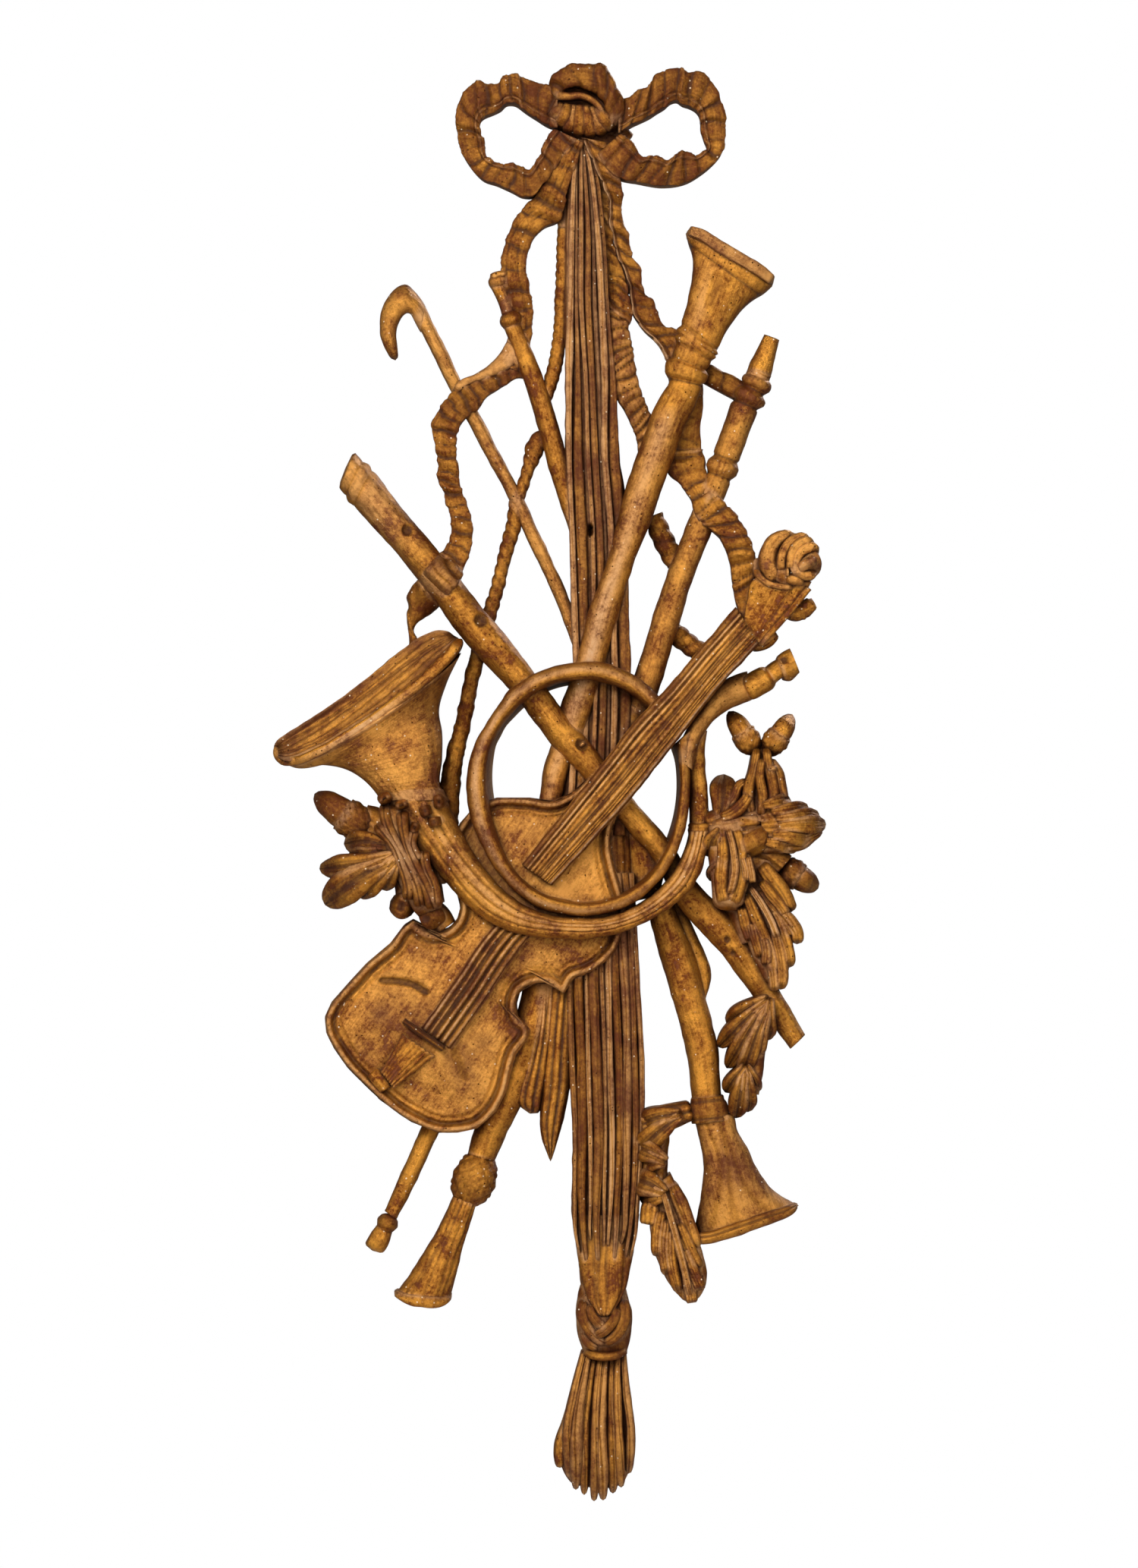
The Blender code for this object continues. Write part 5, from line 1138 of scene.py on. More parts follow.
def left_spray():
    """The left oak spray: acorn, leaves, twisted stems and cut stubs."""
    z = sizes
    deep = z.leaf
    skins = acorn_skins((476, 1088), (414, 1046), 44, z.acorn, 0.7)
    skins.append(tube([(530, 1112), (508, 1098), (490, 1082), (478, 1076)], [34, 46, 46, 34],
        [deep * 0.95, z.acorn * 0.9], work=[reeded(3, 0.0018, 0.3)], toned=0.3))
    skins.append(finger((520, 1116), (453, 1112), 30, deep * 1.02, bend=(0, -5)))
    skins.append(finger((505, 1118), (460, 1124), 20, deep * 1.04, bend=(0, 3)))
    for tip, width, bend in (((428, 1192), 44, (-14, 4)), ((421, 1145), 31, (2, 3)),
            ((472, 1182), 32, (-4, 2)), ((502, 1172), 30, (-2, 0)), ((520, 1156), 28, (0, 0))):
        skins.append(finger((532, 1124), tip, width, deep * 1.1, bend=bend))
    skins.append(tube([(514, 1056), (520, 1085), (532, 1120), (548, 1155), (562, 1185), (570, 1212)],
        [24, 34, 40, 44, 42, 34], [z.horn, z.horn * 1.02, z.horn, z.horn * 0.94, deep * 0.9], tail=0.08,
        tip=0.12, across=32, crown=0.6, toned=0.6))
    for path, width in (([(508, 1056), (511, 1080), (522, 1105), (538, 1135), (550, 1165), (556, 1198)],
            14), ([(531, 1062), (533, 1085), (538, 1110), (550, 1140), (563, 1168), (573, 1200)], 15),
            ([(496, 1084), (508, 1097), (523, 1116), (533, 1142), (540, 1170), (538, 1188)], 14),
            ([(560, 1118), (563, 1140), (574, 1165), (578, 1195)], 13),
            ([(548, 1092), (545, 1112), (556, 1135)], 12)):
        skins.append(tube(path, [width * 1.2, width * 0.9, width, width * 1.15], z.horn * 1.08, tail=0.1,
            tip=0.1, crown=1.0, work=[grooved([0.1], 0.002, 0.14, 0.3)], toned=0.75))
    for spot, way, reach, width in (((509, 1052), 60, 22, 19), ((531, 1060), 70, 20, 17),
            ((580, 1056), 0, 22, 18), ((562, 1068), -20, 26, 15), ((574, 1082), -10, 28, 13),
            ((548, 1090), 20, 20, 14)):
        skins.append(knob(spot, way, reach, width, z.horn * 1.12, toned=0.8,
            work=[drilled([(spot[0], spot[1], 3.5)], 0.0025)]))
    skins.append(knob((531, 1193), 20, 35, 34, deep * 0.95, crown=0.5, flat=0.7, toned=0.6,
        work=[drilled([(530, 1193, 6)], 0.005)]))
    skins.append(tube([(535, 1160), (534, 1178), (532, 1192)], [30, 24, 24], deep * 0.8, toned=0.4))
    skins.append(knob((570, 1207), 60, 40, 34, deep * 0.92, crown=0.6, toned=0.7,
        work=[drilled([(562, 1210, 6)], 0.003)]))
    skins.append(tube([(548, 1130), (563, 1158), (574, 1192)], [34, 34, 26], deep * 0.85, toned=0.5))
    skins.append(tube([(560, 1128), (576, 1148), (592, 1162)], [22, 26, 14], deep * 0.75, tip=0.2,
        toned=0.6))
    skins.append(tube([(566, 1196), (578, 1208), (588, 1222)], [30, 34, 30], z.violin * 1.0, toned=0.4))
    return skins


def acorn_branch():
    """Two acorns on their stems above the right spray."""
    z = sizes
    deep = z.leaf
    skins = []
    skins += acorn_skins((988, 981), (961, 937), 31, z.acorn)
    skins += acorn_skins((1017, 983), (1045, 941), 31, z.acorn)
    skins.append(tube([(1003, 980), (1001, 1008), (1002, 1045), (998, 1082)], [20, 30, 54, 62],
        [z.acorn * 0.8, z.acorn * 0.95, deep * 0.95], crown=0.5, across=32, tail=0.1, toned=0.5))
    for path, width, lift in (([(997, 984), (992, 1015), (985, 1045), (992, 1080)], 13, 0.92),
            ([(1003, 996), (1000, 1022), (1004, 1050), (1000, 1080)], 12, 1.0),
            ([(1008, 984), (1012, 1012), (1018, 1040), (1014, 1070)], 13, 0.96),
            ([(1012, 1000), (1024, 1018), (1028, 1040), (1034, 1058)], 15, 0.9),
            ([(985, 1028), (974, 1034), (966, 1052), (952, 1068)], 12, 0.86),
            ([(988, 1044), (976, 1062), (960, 1074), (944, 1078)], 16, 0.98)):
        skins.append(tube(path, [width * 0.8, width, width * 1.1, width * 0.8], deep * lift, tail=0.12,
            tip=0.15, crown=0.9, across=19, work=[grooved([-0.2, 0.4], 0.0012, 0.12, 0.25)], toned=0.3))
    skins.append(knob((1016, 1013), 80, 16, 13, deep * 1.0))
    return skins


def right_spray():
    """The right oak spray: three big leaves, an acorn and a cut knob."""
    z = sizes
    deep = z.leaf
    skins = []
    skins.append(tube([(930, 1096), (960, 1094), (985, 1092), (1010, 1090)], [24, 36, 36, 40], deep * 0.98,
        crown=0.5, tail=0.2, tip=0.2, toned=0.2, across=32,
        work=[grooved([-0.5, -0.1, 0.35], 0.0018, 0.1, 0.3)]))
    # A low dark piece filling the gap between the leaves and the flute: painted shade there.
    skins.append(tube([(962, 1165), (974, 1200), (988, 1240)], [26, 34, 30], deep * 0.66, toned=1.0))
    skins.append(finger((948, 1082), (955, 1020), 34, deep * 0.86, toned=0.2))
    skins.append(tube([(926, 1092), (945, 1084), (975, 1082)], [30, 38, 44], deep * 0.9, tail=0.2,
        toned=0.4, work=[grooved([-0.3, 0.3], 0.0016, 0.1, 0.3)]))
    skins.append(band([(1000, 1052, 1004, 1124), (1026, 1050, 1030, 1124), (1050, 1060, 1056, 1120),
        (1072, 1070, 1074, 1107), (1084, 1076, 1086, 1098)], [deep * 0.95, deep, deep * 0.9, deep * 0.75],
        crown=0.35, flat=0.7, across=60, tip=0.08, toned=0.25, work=[reeded(9, 0.0016, 0.08),
        brushed(29, 0.0005)]))
    for root, tip, width in (((1000, 1062), (1043, 1055), 20), ((1010, 1070), (1066, 1064), 19),
            ((1016, 1078), (1080, 1073), 19), ((1018, 1088), (1089, 1086), 24),
            ((1012, 1100), (1074, 1104), 24), ((1004, 1108), (1052, 1118), 20)):
        skins.append(finger(root, tip, width, deep * 1.03, crown=0.34, flat=0.7, bend=(0, -1),
            work=[grooved([-0.6, -0.15, 0.35], 0.001, 0.09, 0.15)]))
    skins.append(tube([(955, 1085), (960, 1120), (961, 1150), (958, 1201)], [46, 56, 48, 38], deep * 1.0,
        crown=0.5, tip=0.14, toned=0.3))
    skins.append(finger((950, 1090), (937, 1130), 26, deep * 1.04, bend=(-6, -2)))
    skins.append(finger((960, 1130), (936, 1161), 20, deep * 1.0, bend=(-2, -4)))
    for path, width, lift, bald in (([(948, 1086), (952, 1120), (949, 1160), (953, 1194)], 17, 1.06, 0.0),
            ([(966, 1088), (974, 1120), (975, 1155), (962, 1195)], 18, 1.06, 0.0),
            ([(957, 1088), (964, 1115), (967, 1145), (959, 1182)], 9, 1.13, 0.5),
            ([(976, 1092), (982, 1125), (982, 1150), (974, 1182)], 12, 0.96, 0.0),
            ([(976, 1128), (981, 1146), (982, 1162)], 9, 1.08, 0.5),
            ([(984, 1126), (988, 1146), (991, 1165)], 9, 1.1, 0.5)):
        skins.append(tube(path, [width * 0.8, width, width * 1.1, width], deep * lift, crown=0.8, tail=0.1,
            tip=0.12, worn=bald, work=[grooved([-0.2, 0.45], 0.001, 0.14, 0.2)]))
    skins.append(knob((990, 1108), 60, 50, 42, deep * 1.06, crown=0.6, toned=0.4,
        work=[ringed([8, 16, 24, 32, 40], 0.0016, 2.4), hatched(13, 0.0008)]))
    skins.append(tube([(996, 1110), (1018, 1128), (1032, 1140)], [40, 38, 32], deep * 0.85, toned=0.4,
        work=[grooved([-0.3, 0.4], 0.0012, 0.12, 0.2)]))
    skins += acorn_skins((1038, 1147), (1079, 1171), 37, z.acorn, 0.5)
    skins.append(two_edges([(980, 1125), (974, 1180), (980, 1225), (996, 1268), (1012, 1300)],
        [(1018, 1135), (1034, 1185), (1044, 1225), (1040, 1270), (1032, 1302)],
        [deep * 0.84, deep * 0.86, deep * 0.84], tip=0.08, crown=0.4, across=30, toned=0.6))
    for path, width, lift, bald in (([(1000, 1136), (1018, 1160), (1033, 1182), (1041, 1203)], 22, 1.0,
            0.0), ([(1000, 1158), (1014, 1178), (1028, 1194), (1037, 1207)], 14, 1.04, 0.0),
            ([(998, 1168), (1012, 1190), (1030, 1210), (1047, 1238)], 19, 0.98, 0.0),
            ([(1022, 1194), (1038, 1210), (1049, 1228), (1050, 1244)], 16, 1.0, 0.0),
            ([(1014, 1192), (1028, 1222), (1037, 1248), (1040, 1275)], 15, 0.98, 0.0),
            ([(986, 1166), (1001, 1188), (1014, 1212), (1024, 1238)], 9, 1.08, 0.8),
            ([(980, 1172), (993, 1202), (1006, 1232), (1016, 1262), (1018, 1290)], 16, 0.97, 0.0),
            ([(1018, 1222), (1026, 1250), (1030, 1276), (1028, 1304)], 15, 0.98, 0.15),
            ([(1012, 1246), (1017, 1275), (1020, 1306)], 14, 0.96, 0.4),
            ([(976, 1192), (982, 1216), (990, 1240)], 16, 0.92, 0.0),
            ([(988, 1212), (994, 1234), (1003, 1262)], 14, 0.95, 0.0),
            ([(1004, 1232), (1009, 1252), (1008, 1272)], 13, 1.0, 0.2)):
        skins.append(tube(path, [width * 0.75, width, width * 1.05, width], deep * lift, crown=0.75,
            tail=0.12, tip=0.14, worn=bald, toned=0.1, across=19,
            work=[grooved([-0.25, 0.4], 0.0012, 0.13, 0.25)]))
    return skins


def lower_sprigs():
    """The hanging leaves by the oboe and the sprig that joins its bell to the sheaf."""
    z = sizes
    deep = z.leaf
    skins = []
    for tip, width in (((958, 1349), 26), ((947, 1380), 25), ((958, 1408), 24), ((975, 1424), 24),
            ((990, 1402), 26), ((1010, 1372), 22)):
        skins.append(finger((1014, 1312), tip, width, deep * 0.86, toned=0.1))
    skins.append(tube([(1000, 1360), (996, 1400), (990, 1440)], [22, 22, 20], deep * 0.7, toned=0.3))
    for tip, width in (((956, 1440), 20), ((970, 1474), 26), ((986, 1466), 24), ((999, 1440), 18)):
        skins.append(finger((982, 1400), tip, width, deep * 0.82, toned=0.15))
    low = z.sprig
    skins.append(tube([(914, 1462), (880, 1472), (846, 1480)], [26, 34, 34], low * 0.8,
        work=[reeded(2, 0.003)], tail=0.1))
    for root, tip, width in (((900, 1464), (840, 1482), 30), ((900, 1464), (838, 1520), 32),
            ((880, 1530), (836, 1510), 30), ((880, 1530), (842, 1530), 30), ((880, 1572), (834, 1552), 36),
            ((880, 1572), (842, 1580), 34)):
        skins.append(finger(root, tip, width, low))
    skins.append(tube([(866, 1490), (862, 1550), (870, 1600)], [32, 36, 40], low * 0.85,
        work=[reeded(2, 0.003)]))
    skins.append(two_edges([(850, 1570), (856, 1612), (862, 1650), (874, 1676), (886, 1696), (906, 1717)],
        [(884, 1545), (906, 1592), (923, 1640), (930, 1664), (930, 1690), (916, 1717)],
        [low * 0.85, low * 0.9, low * 0.8], crown=0.35, across=32, tip=0.06, toned=0.3))
    for path, width, lift, bald in (([(858, 1580), (856, 1600), (854, 1614)], 24, 0.95, 0.0),
            ([(872, 1590), (867, 1622), (865, 1656)], 16, 0.98, 0.0),
            ([(878, 1600), (875, 1642), (879, 1680)], 16, 1.0, 0.2),
            ([(884, 1612), (885, 1660), (894, 1702)], 16, 1.02, 0.0),
            ([(872, 1562), (888, 1618), (900, 1664), (911, 1714)], 9, 1.1, 0.5),
            ([(884, 1556), (902, 1600), (917, 1650)], 20, 0.94, 0.1),
            ([(892, 1606), (908, 1644), (922, 1672)], 17, 1.0, 0.0),
            ([(898, 1640), (912, 1672), (925, 1700)], 17, 1.02, 0.0),
            ([(902, 1668), (908, 1692), (912, 1717)], 16, 1.0, 0.0)):
        skins.append(tube(path, [width * 0.7, width, width * 1.05, width * 0.95], low * lift, crown=0.7,
            tail=0.12, tip=0.16, worn=bald, work=[grooved([-0.3, 0.35], 0.0012, 0.12, 0.25)]))
    skins.append(two_edges([(812, 1070), (816, 1120), (826, 1190)], [(832, 1050), (878, 1120), (870, 1180)],
        z.pipe * 0.8))
    return skins


def add(tree, kind, inputs=None, out=0, **settings):
    """Adds a node, sets its properties, fills each input with a value or another node's output,
    and gives back the chosen output."""
    node = tree.nodes.new(kind)
    for key, value in settings.items():
        setattr(node, key, value)
    for key, value in (inputs or {}).items():
        if isinstance(value, bpy.types.NodeSocket):
            tree.links.new(value, node.inputs[key])
        else:
            node.inputs[key].default_value = value
    return node.outputs[out] if len(node.outputs) else node


def rgba(value):
    """A colour with full cover."""
    return (value[0], value[1], value[2], 1.0)


def water_gilding():
    """Aged water gilding on carved limewood.

    The wood is carved, coated with white gesso, then red clay, and gold leaf is laid over it
    and toned with brown size. Light catches the leaf on the crests; the clay shows where it
    is rubbed, bare gesso where it is worn, and old wax and dust fill the hollows. Painted
    shade darkens the hollows, cuts, corners and the sides of the forms as well.
    """
    found = bpy.data.materials.get("aged water gilding on carved limewood")
    if found:
        return found
    paint = bpy.data.materials.new("aged water gilding on carved limewood")
    paint.use_nodes = True
    tree = paint.node_tree
    tree.nodes.clear()
    here = add(tree, "ShaderNodeTexCoord", out="Object")
    wear = add(tree, "ShaderNodeAttribute", out="Color", attribute_name="wear")
    bare = wear.node.outputs["Alpha"]
    worn, toned, level = add(tree, "ShaderNodeSeparateColor", {"Color": wear}).node.outputs
    flow = add(tree, "ShaderNodeAttribute", out="Vector", attribute_name="flow")

    # Patina in patches of about 40 mm, mottle of 8 mm, grain of 2 mm, brush marks about 55 by 2.4 mm.
    broad = add(tree, "ShaderNodeTexNoise", {"Vector": here, "Scale": 26.0, "Detail": 7.0,
        "Roughness": 0.68})
    patch = add(tree, "ShaderNodeTexNoise", {"Vector": here, "Scale": 120.0, "Detail": 8.0,
        "Roughness": 0.8})
    grain = add(tree, "ShaderNodeTexNoise", {"Vector": here, "Scale": 420.0, "Detail": 4.0,
        "Roughness": 0.7})
    drawn = add(tree, "ShaderNodeMapping", {"Vector": flow, "Scale": (18.0, 420.0, 1.0)})
    brush = add(tree, "ShaderNodeTexNoise", {"Vector": drawn, "Scale": 1.0, "Detail": 5.0,
        "Roughness": 0.62})
    corner = add(tree, "ShaderNodeAmbientOcclusion", {"Distance": 0.018}, out="AO", samples=10)
    tight = add(tree, "ShaderNodeAmbientOcclusion", {"Distance": 0.005}, out="AO", samples=8)
    crest = add(tree, "ShaderNodeAmbientOcclusion", {"Distance": 0.004}, out="AO", samples=8, inside=True)

    mottle = add(tree, "ShaderNodeMath", {0: broad, 1: 0.40}, operation="MULTIPLY")
    for noise, share in ((patch, 0.27), (brush, 0.15), (grain, 0.18)):
        mottle = add(tree, "ShaderNodeMath", {0: noise, 1: share, 2: mottle}, operation="MULTIPLY_ADD")
    film = add(tree, "ShaderNodeMapRange", {"Value": mottle, "From Min": 0.445, "From Max": 0.56})
    thick = add(tree, "ShaderNodeMapRange", {"Value": mottle, "From Min": 0.53, "From Max": 0.60,
        "To Max": 0.9})

    # Red clay where the leaf is rubbed through, in small torn spots.
    torn = add(tree, "ShaderNodeMath", {0: broad, 1: patch}, operation="MULTIPLY")
    torn = add(tree, "ShaderNodeMapRange", {"Value": torn, "From Min": 0.31, "From Max": 0.36,
        "To Max": 0.6})

    # Brown size left thick on the sides and over whole parts of the ribbons; on the sides it is also
    # painted shade.
    brown = add(tree, "ShaderNodeMapRange", {"Value": mottle, "From Min": 0.42, "From Max": 0.58,
        "To Min": 0.62})
    brown = add(tree, "ShaderNodeMath", {0: brown, 1: toned}, operation="MULTIPLY", use_clamp=True)

    # Gesso and clay worn bare along the ridges.
    edge = add(tree, "ShaderNodeMapRange", {"Value": crest, "From Min": 0.72, "From Max": 0.3})
    edge = add(tree, "ShaderNodeMath", {0: edge, 1: 0.55}, operation="MULTIPLY")
    edge = add(tree, "ShaderNodeMath", {0: edge, 1: worn}, operation="MAXIMUM")
    kept = add(tree, "ShaderNodeMapRange", {"Value": mottle, "From Min": 0.60, "From Max": 0.43,
        "To Min": 0.05})
    bald = add(tree, "ShaderNodeMath", {0: edge, 1: kept}, operation="MULTIPLY")
    crown = add(tree, "ShaderNodeMapRange", {"Value": level, "From Min": 0.3, "From Max": 0.5,
        "To Min": 0.05})
    bald = add(tree, "ShaderNodeMath", {0: bald, 1: crown}, operation="MULTIPLY")

    # Wax and dust in the hollows and behind edges, with painted shade: darker where ambient occlusion finds
    # the surface hidden, or where it is cut deep.
    cut = add(tree, "ShaderNodeMapRange", {"Value": level, "From Min": 0.44, "From Max": 0.1})
    shade = add(tree, "ShaderNodeMapRange", {"Value": corner, "From Min": 0.66, "From Max": 0.2})
    nook = add(tree, "ShaderNodeMapRange", {"Value": tight, "From Min": 0.72, "From Max": 0.3})
    dust_and_painted_shade = add(tree, "ShaderNodeMath", {0: shade, 1: nook}, operation="MAXIMUM")
    dust_and_painted_shade = add(tree, "ShaderNodeMath", {0: dust_and_painted_shade, 1: cut}, operation="MAXIMUM")
    broken = add(tree, "ShaderNodeMapRange", {"Value": patch, "From Min": 0.35, "From Max": 0.65,
        "To Min": 0.7})
    dust_and_painted_shade = add(tree, "ShaderNodeMath", {0: dust_and_painted_shade, 1: broken}, operation="MULTIPLY")

    # Pinholes and tiny white chips, in a few cells of a pattern of dots about 5 mm apart,
    # each about 1.2 mm across.
    cell = add(tree, "ShaderNodeTexVoronoi", {"Vector": here, "Scale": 210.0})
    dot = add(tree, "ShaderNodeMapRange", {"Value": cell, "From Min": 0.17, "From Max": 0.09})
    pick = add(tree, "ShaderNodeSeparateColor", {"Color": cell.node.outputs["Color"]})
    chip = add(tree, "ShaderNodeMapRange", {"Value": pick, "From Min": 0.86, "From Max": 0.865})
    chip = add(tree, "ShaderNodeMath", {0: chip, 1: dot}, operation="MULTIPLY")
    hole = add(tree, "ShaderNodeMapRange", {"Value": pick, "From Min": 0.27, "From Max": 0.26})
    hole = add(tree, "ShaderNodeMath", {0: hole, 1: dot}, operation="MULTIPLY")

    # Layers of colour over sound gold, each by its own share, in the order they were laid. The dust in the
    # hollows and the brown size on the sides also carry painted shade.
    coat = rgba(finish.gold)
    for share, tone in ((film, finish.toned), (thick, finish.size_brown_and_side_shade), (torn, finish.bole),
            (brown, finish.size_brown_and_side_shade), (bald, finish.gesso), (dust_and_painted_shade, finish.dust_and_shade_umber), (hole, finish.dust_and_shade_umber),
            (chip, finish.fleck)):
        coat = add(tree, "ShaderNodeMix", {0: share, 6: coat, 7: rgba(tone)}, out=2, data_type="RGBA")

    # Bare limewood on the sawn back, with its grain running up and down.
    stretch = add(tree, "ShaderNodeMapping", {"Vector": here, "Scale": (9.0, 9.0, 0.7)})
    fibre = add(tree, "ShaderNodeTexNoise", {"Vector": stretch, "Scale": 60.0, "Detail": 6.0,
        "Roughness": 0.6})
    timber = add(tree, "ShaderNodeMix", {0: fibre, 6: rgba(finish.timber), 7: rgba(finish.timber_dark)},
        out=2, data_type="RGBA")
    raw = add(tree, "ShaderNodeMapRange", {"Value": bare, "From Min": 0.55, "From Max": 0.95})
    coat = add(tree, "ShaderNodeMix", {0: raw, 6: coat, 7: timber}, out=2, data_type="RGBA")

    # Metal only where leaf lies open.
    dull = add(tree, "ShaderNodeMath", {0: film, 1: 0.22}, operation="MULTIPLY")
    dull = add(tree, "ShaderNodeMath", {0: brown, 1: 0.36, 2: dull}, operation="MULTIPLY_ADD",
        use_clamp=True)
    hidden = bald
    for cover in (dust_and_painted_shade, chip, raw, dull, torn):
        hidden = add(tree, "ShaderNodeMath", {0: hidden, 1: cover}, operation="MAXIMUM")
    metal = add(tree, "ShaderNodeMapRange", {"Value": hidden, "To Min": 0.92, "To Max": 0.0})
    rough = add(tree, "ShaderNodeMapRange", {"Value": hidden, "To Min": 0.27, "To Max": 0.55})

    height = add(tree, "ShaderNodeMath", {0: patch, 1: 0.55}, operation="MULTIPLY")
    for noise, share in ((grain, 0.22), (brush, 0.18), (hole, -0.2)):
        height = add(tree, "ShaderNodeMath", {0: noise, 1: share, 2: height}, operation="MULTIPLY_ADD")
    relief = add(tree, "ShaderNodeBump", {"Strength": 1.0, "Distance": 0.0026, "Height": height})
    gilt = add(tree, "ShaderNodeBsdfPrincipled", {"Base Color": coat, "Metallic": metal, "Roughness": rough,
        "Specular IOR Level": 0.3, "Normal": relief})
    add(tree, "ShaderNodeOutputMaterial", {"Surface": gilt})
    return paint


def studio_floor():
    """Matt pale paint, rolled: an even surface with the faintest mottle."""
    paint = bpy.data.materials.new("matt pale floor paint")
    paint.use_nodes = True
    tree = paint.node_tree
    tree.nodes.clear()
    here = add(tree, "ShaderNodeTexCoord", out="Object")
    nap = add(tree, "ShaderNodeTexNoise", {"Vector": here, "Scale": 40.0, "Detail": 3.0})
    tone = add(tree, "ShaderNodeMix", {0: nap, 6: rgba(finish.floor), 7: rgba(finish.floor_dark)}, out=2,
        data_type="RGBA")
    flat = add(tree, "ShaderNodeBsdfPrincipled", {"Base Color": tone, "Roughness": 0.85})
    add(tree, "ShaderNodeOutputMaterial", {"Surface": flat})
    return paint


def soft_light(name, spot, aim, size, power, tint):
    """A square soft box at a spot, turned to its aim."""
    light = bpy.data.lights.new(name, "AREA")
    light.shape = "SQUARE"
    light.size = size
    light.energy = power
    light.color = linear(tint)
    lamp = bpy.data.objects.new(name, light)
    way = np.array(aim, float) - np.array(spot, float)
    lamp.location = spot
    lamp.rotation_euler = (math.atan2(math.hypot(way[0], way[1]), -way[2]), 0.0,
        math.atan2(way[1], way[0]) - math.pi / 2)
    bpy.context.scene.collection.objects.link(lamp)
    return lamp


def build_stage():
    """Pale floor, white surround, soft boxes and the camera."""
    scene = bpy.context.scene
    ring = np.linspace(0, 2 * math.pi, 97)[:-1]
    radius = np.array([0.02, 1.2, 1.5])[:, None]
    points = np.stack([radius * np.cos(ring), radius * np.sin(ring) - 0.3, np.full((3, 96), FLOOR_Z)],
        axis=-1)
    mesh = bpy.data.meshes.new("studio_floor")
    i = np.arange(2)[:, None] * 96
    j = np.arange(96)[None, :]
    k = (j + 1) % 96
    quads = np.stack([i + j, i + j + 96, i + k + 96, i + k], axis=-1).reshape(-1, 4)
    mesh.from_pydata(points.reshape(-1, 3).tolist(), [], quads.tolist() + [list(range(96))])
    mesh.materials.append(studio_floor())
    floor = bpy.data.objects.new("studio_floor", mesh)
    scene.collection.objects.link(floor)

    world = bpy.data.worlds.new("white surround")
    world.use_nodes = True
    tree = world.node_tree
    tree.nodes.clear()
    seen = add(tree, "ShaderNodeBackground", {"Color": (1, 1, 1, 1), "Strength": 1.0})
    felt = add(tree, "ShaderNodeBackground", {"Color": rgba(linear("#FFF6EA")), "Strength": 0.13})
    ray = add(tree, "ShaderNodeLightPath", out="Is Camera Ray")
    mix = add(tree, "ShaderNodeMixShader", {0: ray, 1: felt, 2: seen})
    add(tree, "ShaderNodeOutputWorld", {"Surface": mix})
    scene.world = world
    scene.view_settings.view_transform = "Standard"

    middle = np.array([-0.02, 0.0, -0.19])
    soft_light("key softbox", (-1.5, -2.6, 1.6), middle, 1.2, 86, "#FFF3E2")
    soft_light("glint box", (-0.7, -3.2, 0.9), middle, 0.36, 32, "#FFF6EA")
    soft_light("fill softbox", (1.9, -2.2, 0.3), middle, 1.2, 20, "#FFF8F0")
    soft_light("front softbox", (-0.3, -3.4, 0.3), middle, 1.2, 26, "#FFF6EC")
    soft_light("back softbox", (1.7, 2.6, 1.6), middle, 1.2, 36, "#FFF8F0")

    lens = bpy.data.cameras.new("camera")
    lens.sensor_fit = "VERTICAL"
    lens.sensor_height = 36.0
    lens.sensor_width = 36.0
    tall = PAGE[1] * UNIT
    lens.lens = lens.sensor_height * CAMERA_AWAY / tall
    lens.clip_end = 50.0
    camera = bpy.data.objects.new("camera", lens)
    x = (PAGE[0] / 2 - ORIGIN[0]) * UNIT
    z = (ORIGIN[1] - PAGE[1] / 2) * UNIT
    camera.location = (x, -CAMERA_AWAY - 0.03, z)
    camera.rotation_euler = (math.pi / 2, 0.0, 0.0)
    scene.collection.objects.link(camera)
    scene.camera = camera


class TROPHY_OT_bow(bpy.types.Operator):
    """Carves the ribbon bow and its two tails"""
    bl_idname = "trophy.bow"
    bl_label = "Bow and ribbons"

    def execute(self, context):
        make("bow_and_ribbons", bow_skins() + ribbon_skins(), 0.30)
        return {"FINISHED"}


class TROPHY_OT_cords(bpy.types.Operator):
    """Carves the twisted cords and the shepherd's crook"""
    bl_idname = "trophy.cords"
    bl_label = "Cords and crook"

    def execute(self, context):
        make("cords_and_crook", cord_skins(), 0.15)
        return {"FINISHED"}


class TROPHY_OT_pipes(bpy.types.Operator):
    """Carves the oboe, the long pipe and the stick"""
    bl_idname = "trophy.pipes"
    bl_label = "Oboe, pipe and stick"

    def execute(self, context):
        make("oboe_pipe_and_stick", oboe_skins() + long_pipe_skins() + stick_skins(), 0.12)
        return {"FINISHED"}


class TROPHY_OT_trumpet(bpy.types.Operator):
    """Carves the trumpet and the flute"""
    bl_idname = "trophy.trumpet"
    bl_label = "Trumpet and flute"

    def execute(self, context):
        make("trumpet_and_flute", trumpet_skins() + flute_skins(), 0.15)
        return {"FINISHED"}


class TROPHY_OT_sheaf(bpy.types.Operator):
    """Carves the reeded sheaf with its cloth, knot and tassel"""
    bl_idname = "trophy.sheaf"
    bl_label = "Sheaf and tassel"

    def execute(self, context):
        make("sheaf_and_tassel", sheaf_skins() + cloth_skins() + knot_skins() + tassel_skins(), 0.30)
        return {"FINISHED"}


class TROPHY_OT_horn(bpy.types.Operator):
    """Carves the hunting horn"""
    bl_idname = "trophy.horn"
    bl_label = "Hunting horn"

    def execute(self, context):
        make("hunting_horn", horn_skins(), 0.12)
        return {"FINISHED"}


class TROPHY_OT_violin(bpy.types.Operator):
    """Carves the violin"""
    bl_idname = "trophy.violin"
    bl_label = "Violin"

    def execute(self, context):
        make("violin", violin_body() + strings_and_neck() + scroll_skins())
        return {"FINISHED"}


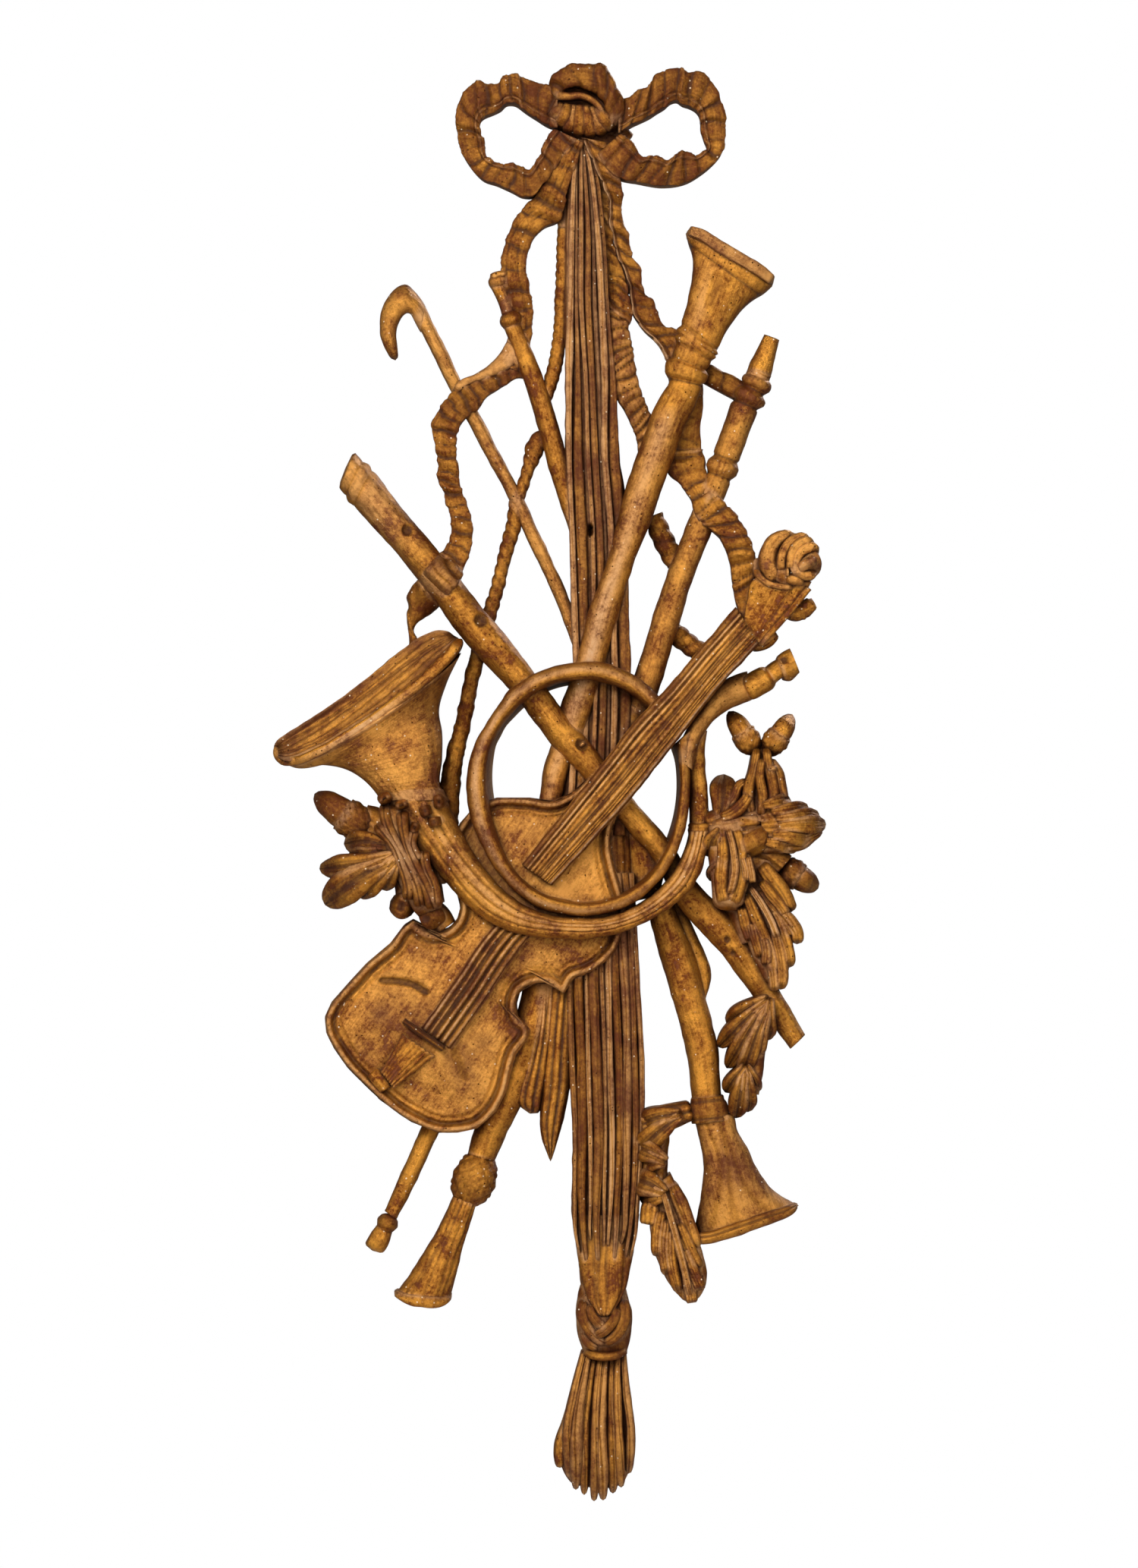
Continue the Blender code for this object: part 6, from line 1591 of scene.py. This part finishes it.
class TROPHY_OT_oak(bpy.types.Operator):
    """Carves the oak sprays and acorns"""
    bl_idname = "trophy.oak"
    bl_label = "Oak sprays"

    def execute(self, context):
        make("oak_sprays", left_spray() + acorn_branch() + right_spray() + lower_sprigs(), 0.22)
        return {"FINISHED"}


class TROPHY_OT_stage(bpy.types.Operator):
    """Sets the pale floor, the surround, the lights and the camera"""
    bl_idname = "trophy.stage"
    bl_label = "Stage"

    def execute(self, context):
        build_stage()
        return {"FINISHED"}


class TROPHY_PT_panel(bpy.types.Panel):
    """The trophy's pieces, sizes and colours"""
    bl_label = "Gilt Trophy"
    bl_idname = "TROPHY_PT_panel"
    bl_space_type = "VIEW_3D"
    bl_region_type = "UI"
    bl_category = "Gilt Trophy"

    def draw(self, context):
        for step in STEPS:
            self.layout.operator(step.bl_idname)
        for group in (context.scene.trophy_sizes, context.scene.trophy_finish):
            box = self.layout.box()
            for name in group.__annotations__:
                box.prop(group, name)


STEPS = (TROPHY_OT_bow, TROPHY_OT_cords, TROPHY_OT_pipes, TROPHY_OT_trumpet, TROPHY_OT_sheaf,
    TROPHY_OT_horn, TROPHY_OT_violin, TROPHY_OT_oak, TROPHY_OT_stage)


def register():
    for item in (TrophySizes, TrophyFinish) + STEPS + (TROPHY_PT_panel,):
        bpy.utils.register_class(item)
    bpy.types.Scene.trophy_sizes = bpy.props.PointerProperty(type=TrophySizes)
    bpy.types.Scene.trophy_finish = bpy.props.PointerProperty(type=TrophyFinish)


def unregister():
    del bpy.types.Scene.trophy_finish
    del bpy.types.Scene.trophy_sizes
    for item in reversed((TrophySizes, TrophyFinish) + STEPS + (TROPHY_PT_panel,)):
        bpy.utils.unregister_class(item)


def main():
    global sizes, finish
    register()
    sizes = bpy.context.scene.trophy_sizes
    finish = bpy.context.scene.trophy_finish
    bpy.ops.trophy.bow()
    bpy.ops.trophy.cords()
    bpy.ops.trophy.pipes()
    bpy.ops.trophy.trumpet()
    bpy.ops.trophy.sheaf()
    bpy.ops.trophy.horn()
    bpy.ops.trophy.violin()
    bpy.ops.trophy.oak()
    bpy.ops.trophy.stage()


if __name__ == "__main__":
    main()
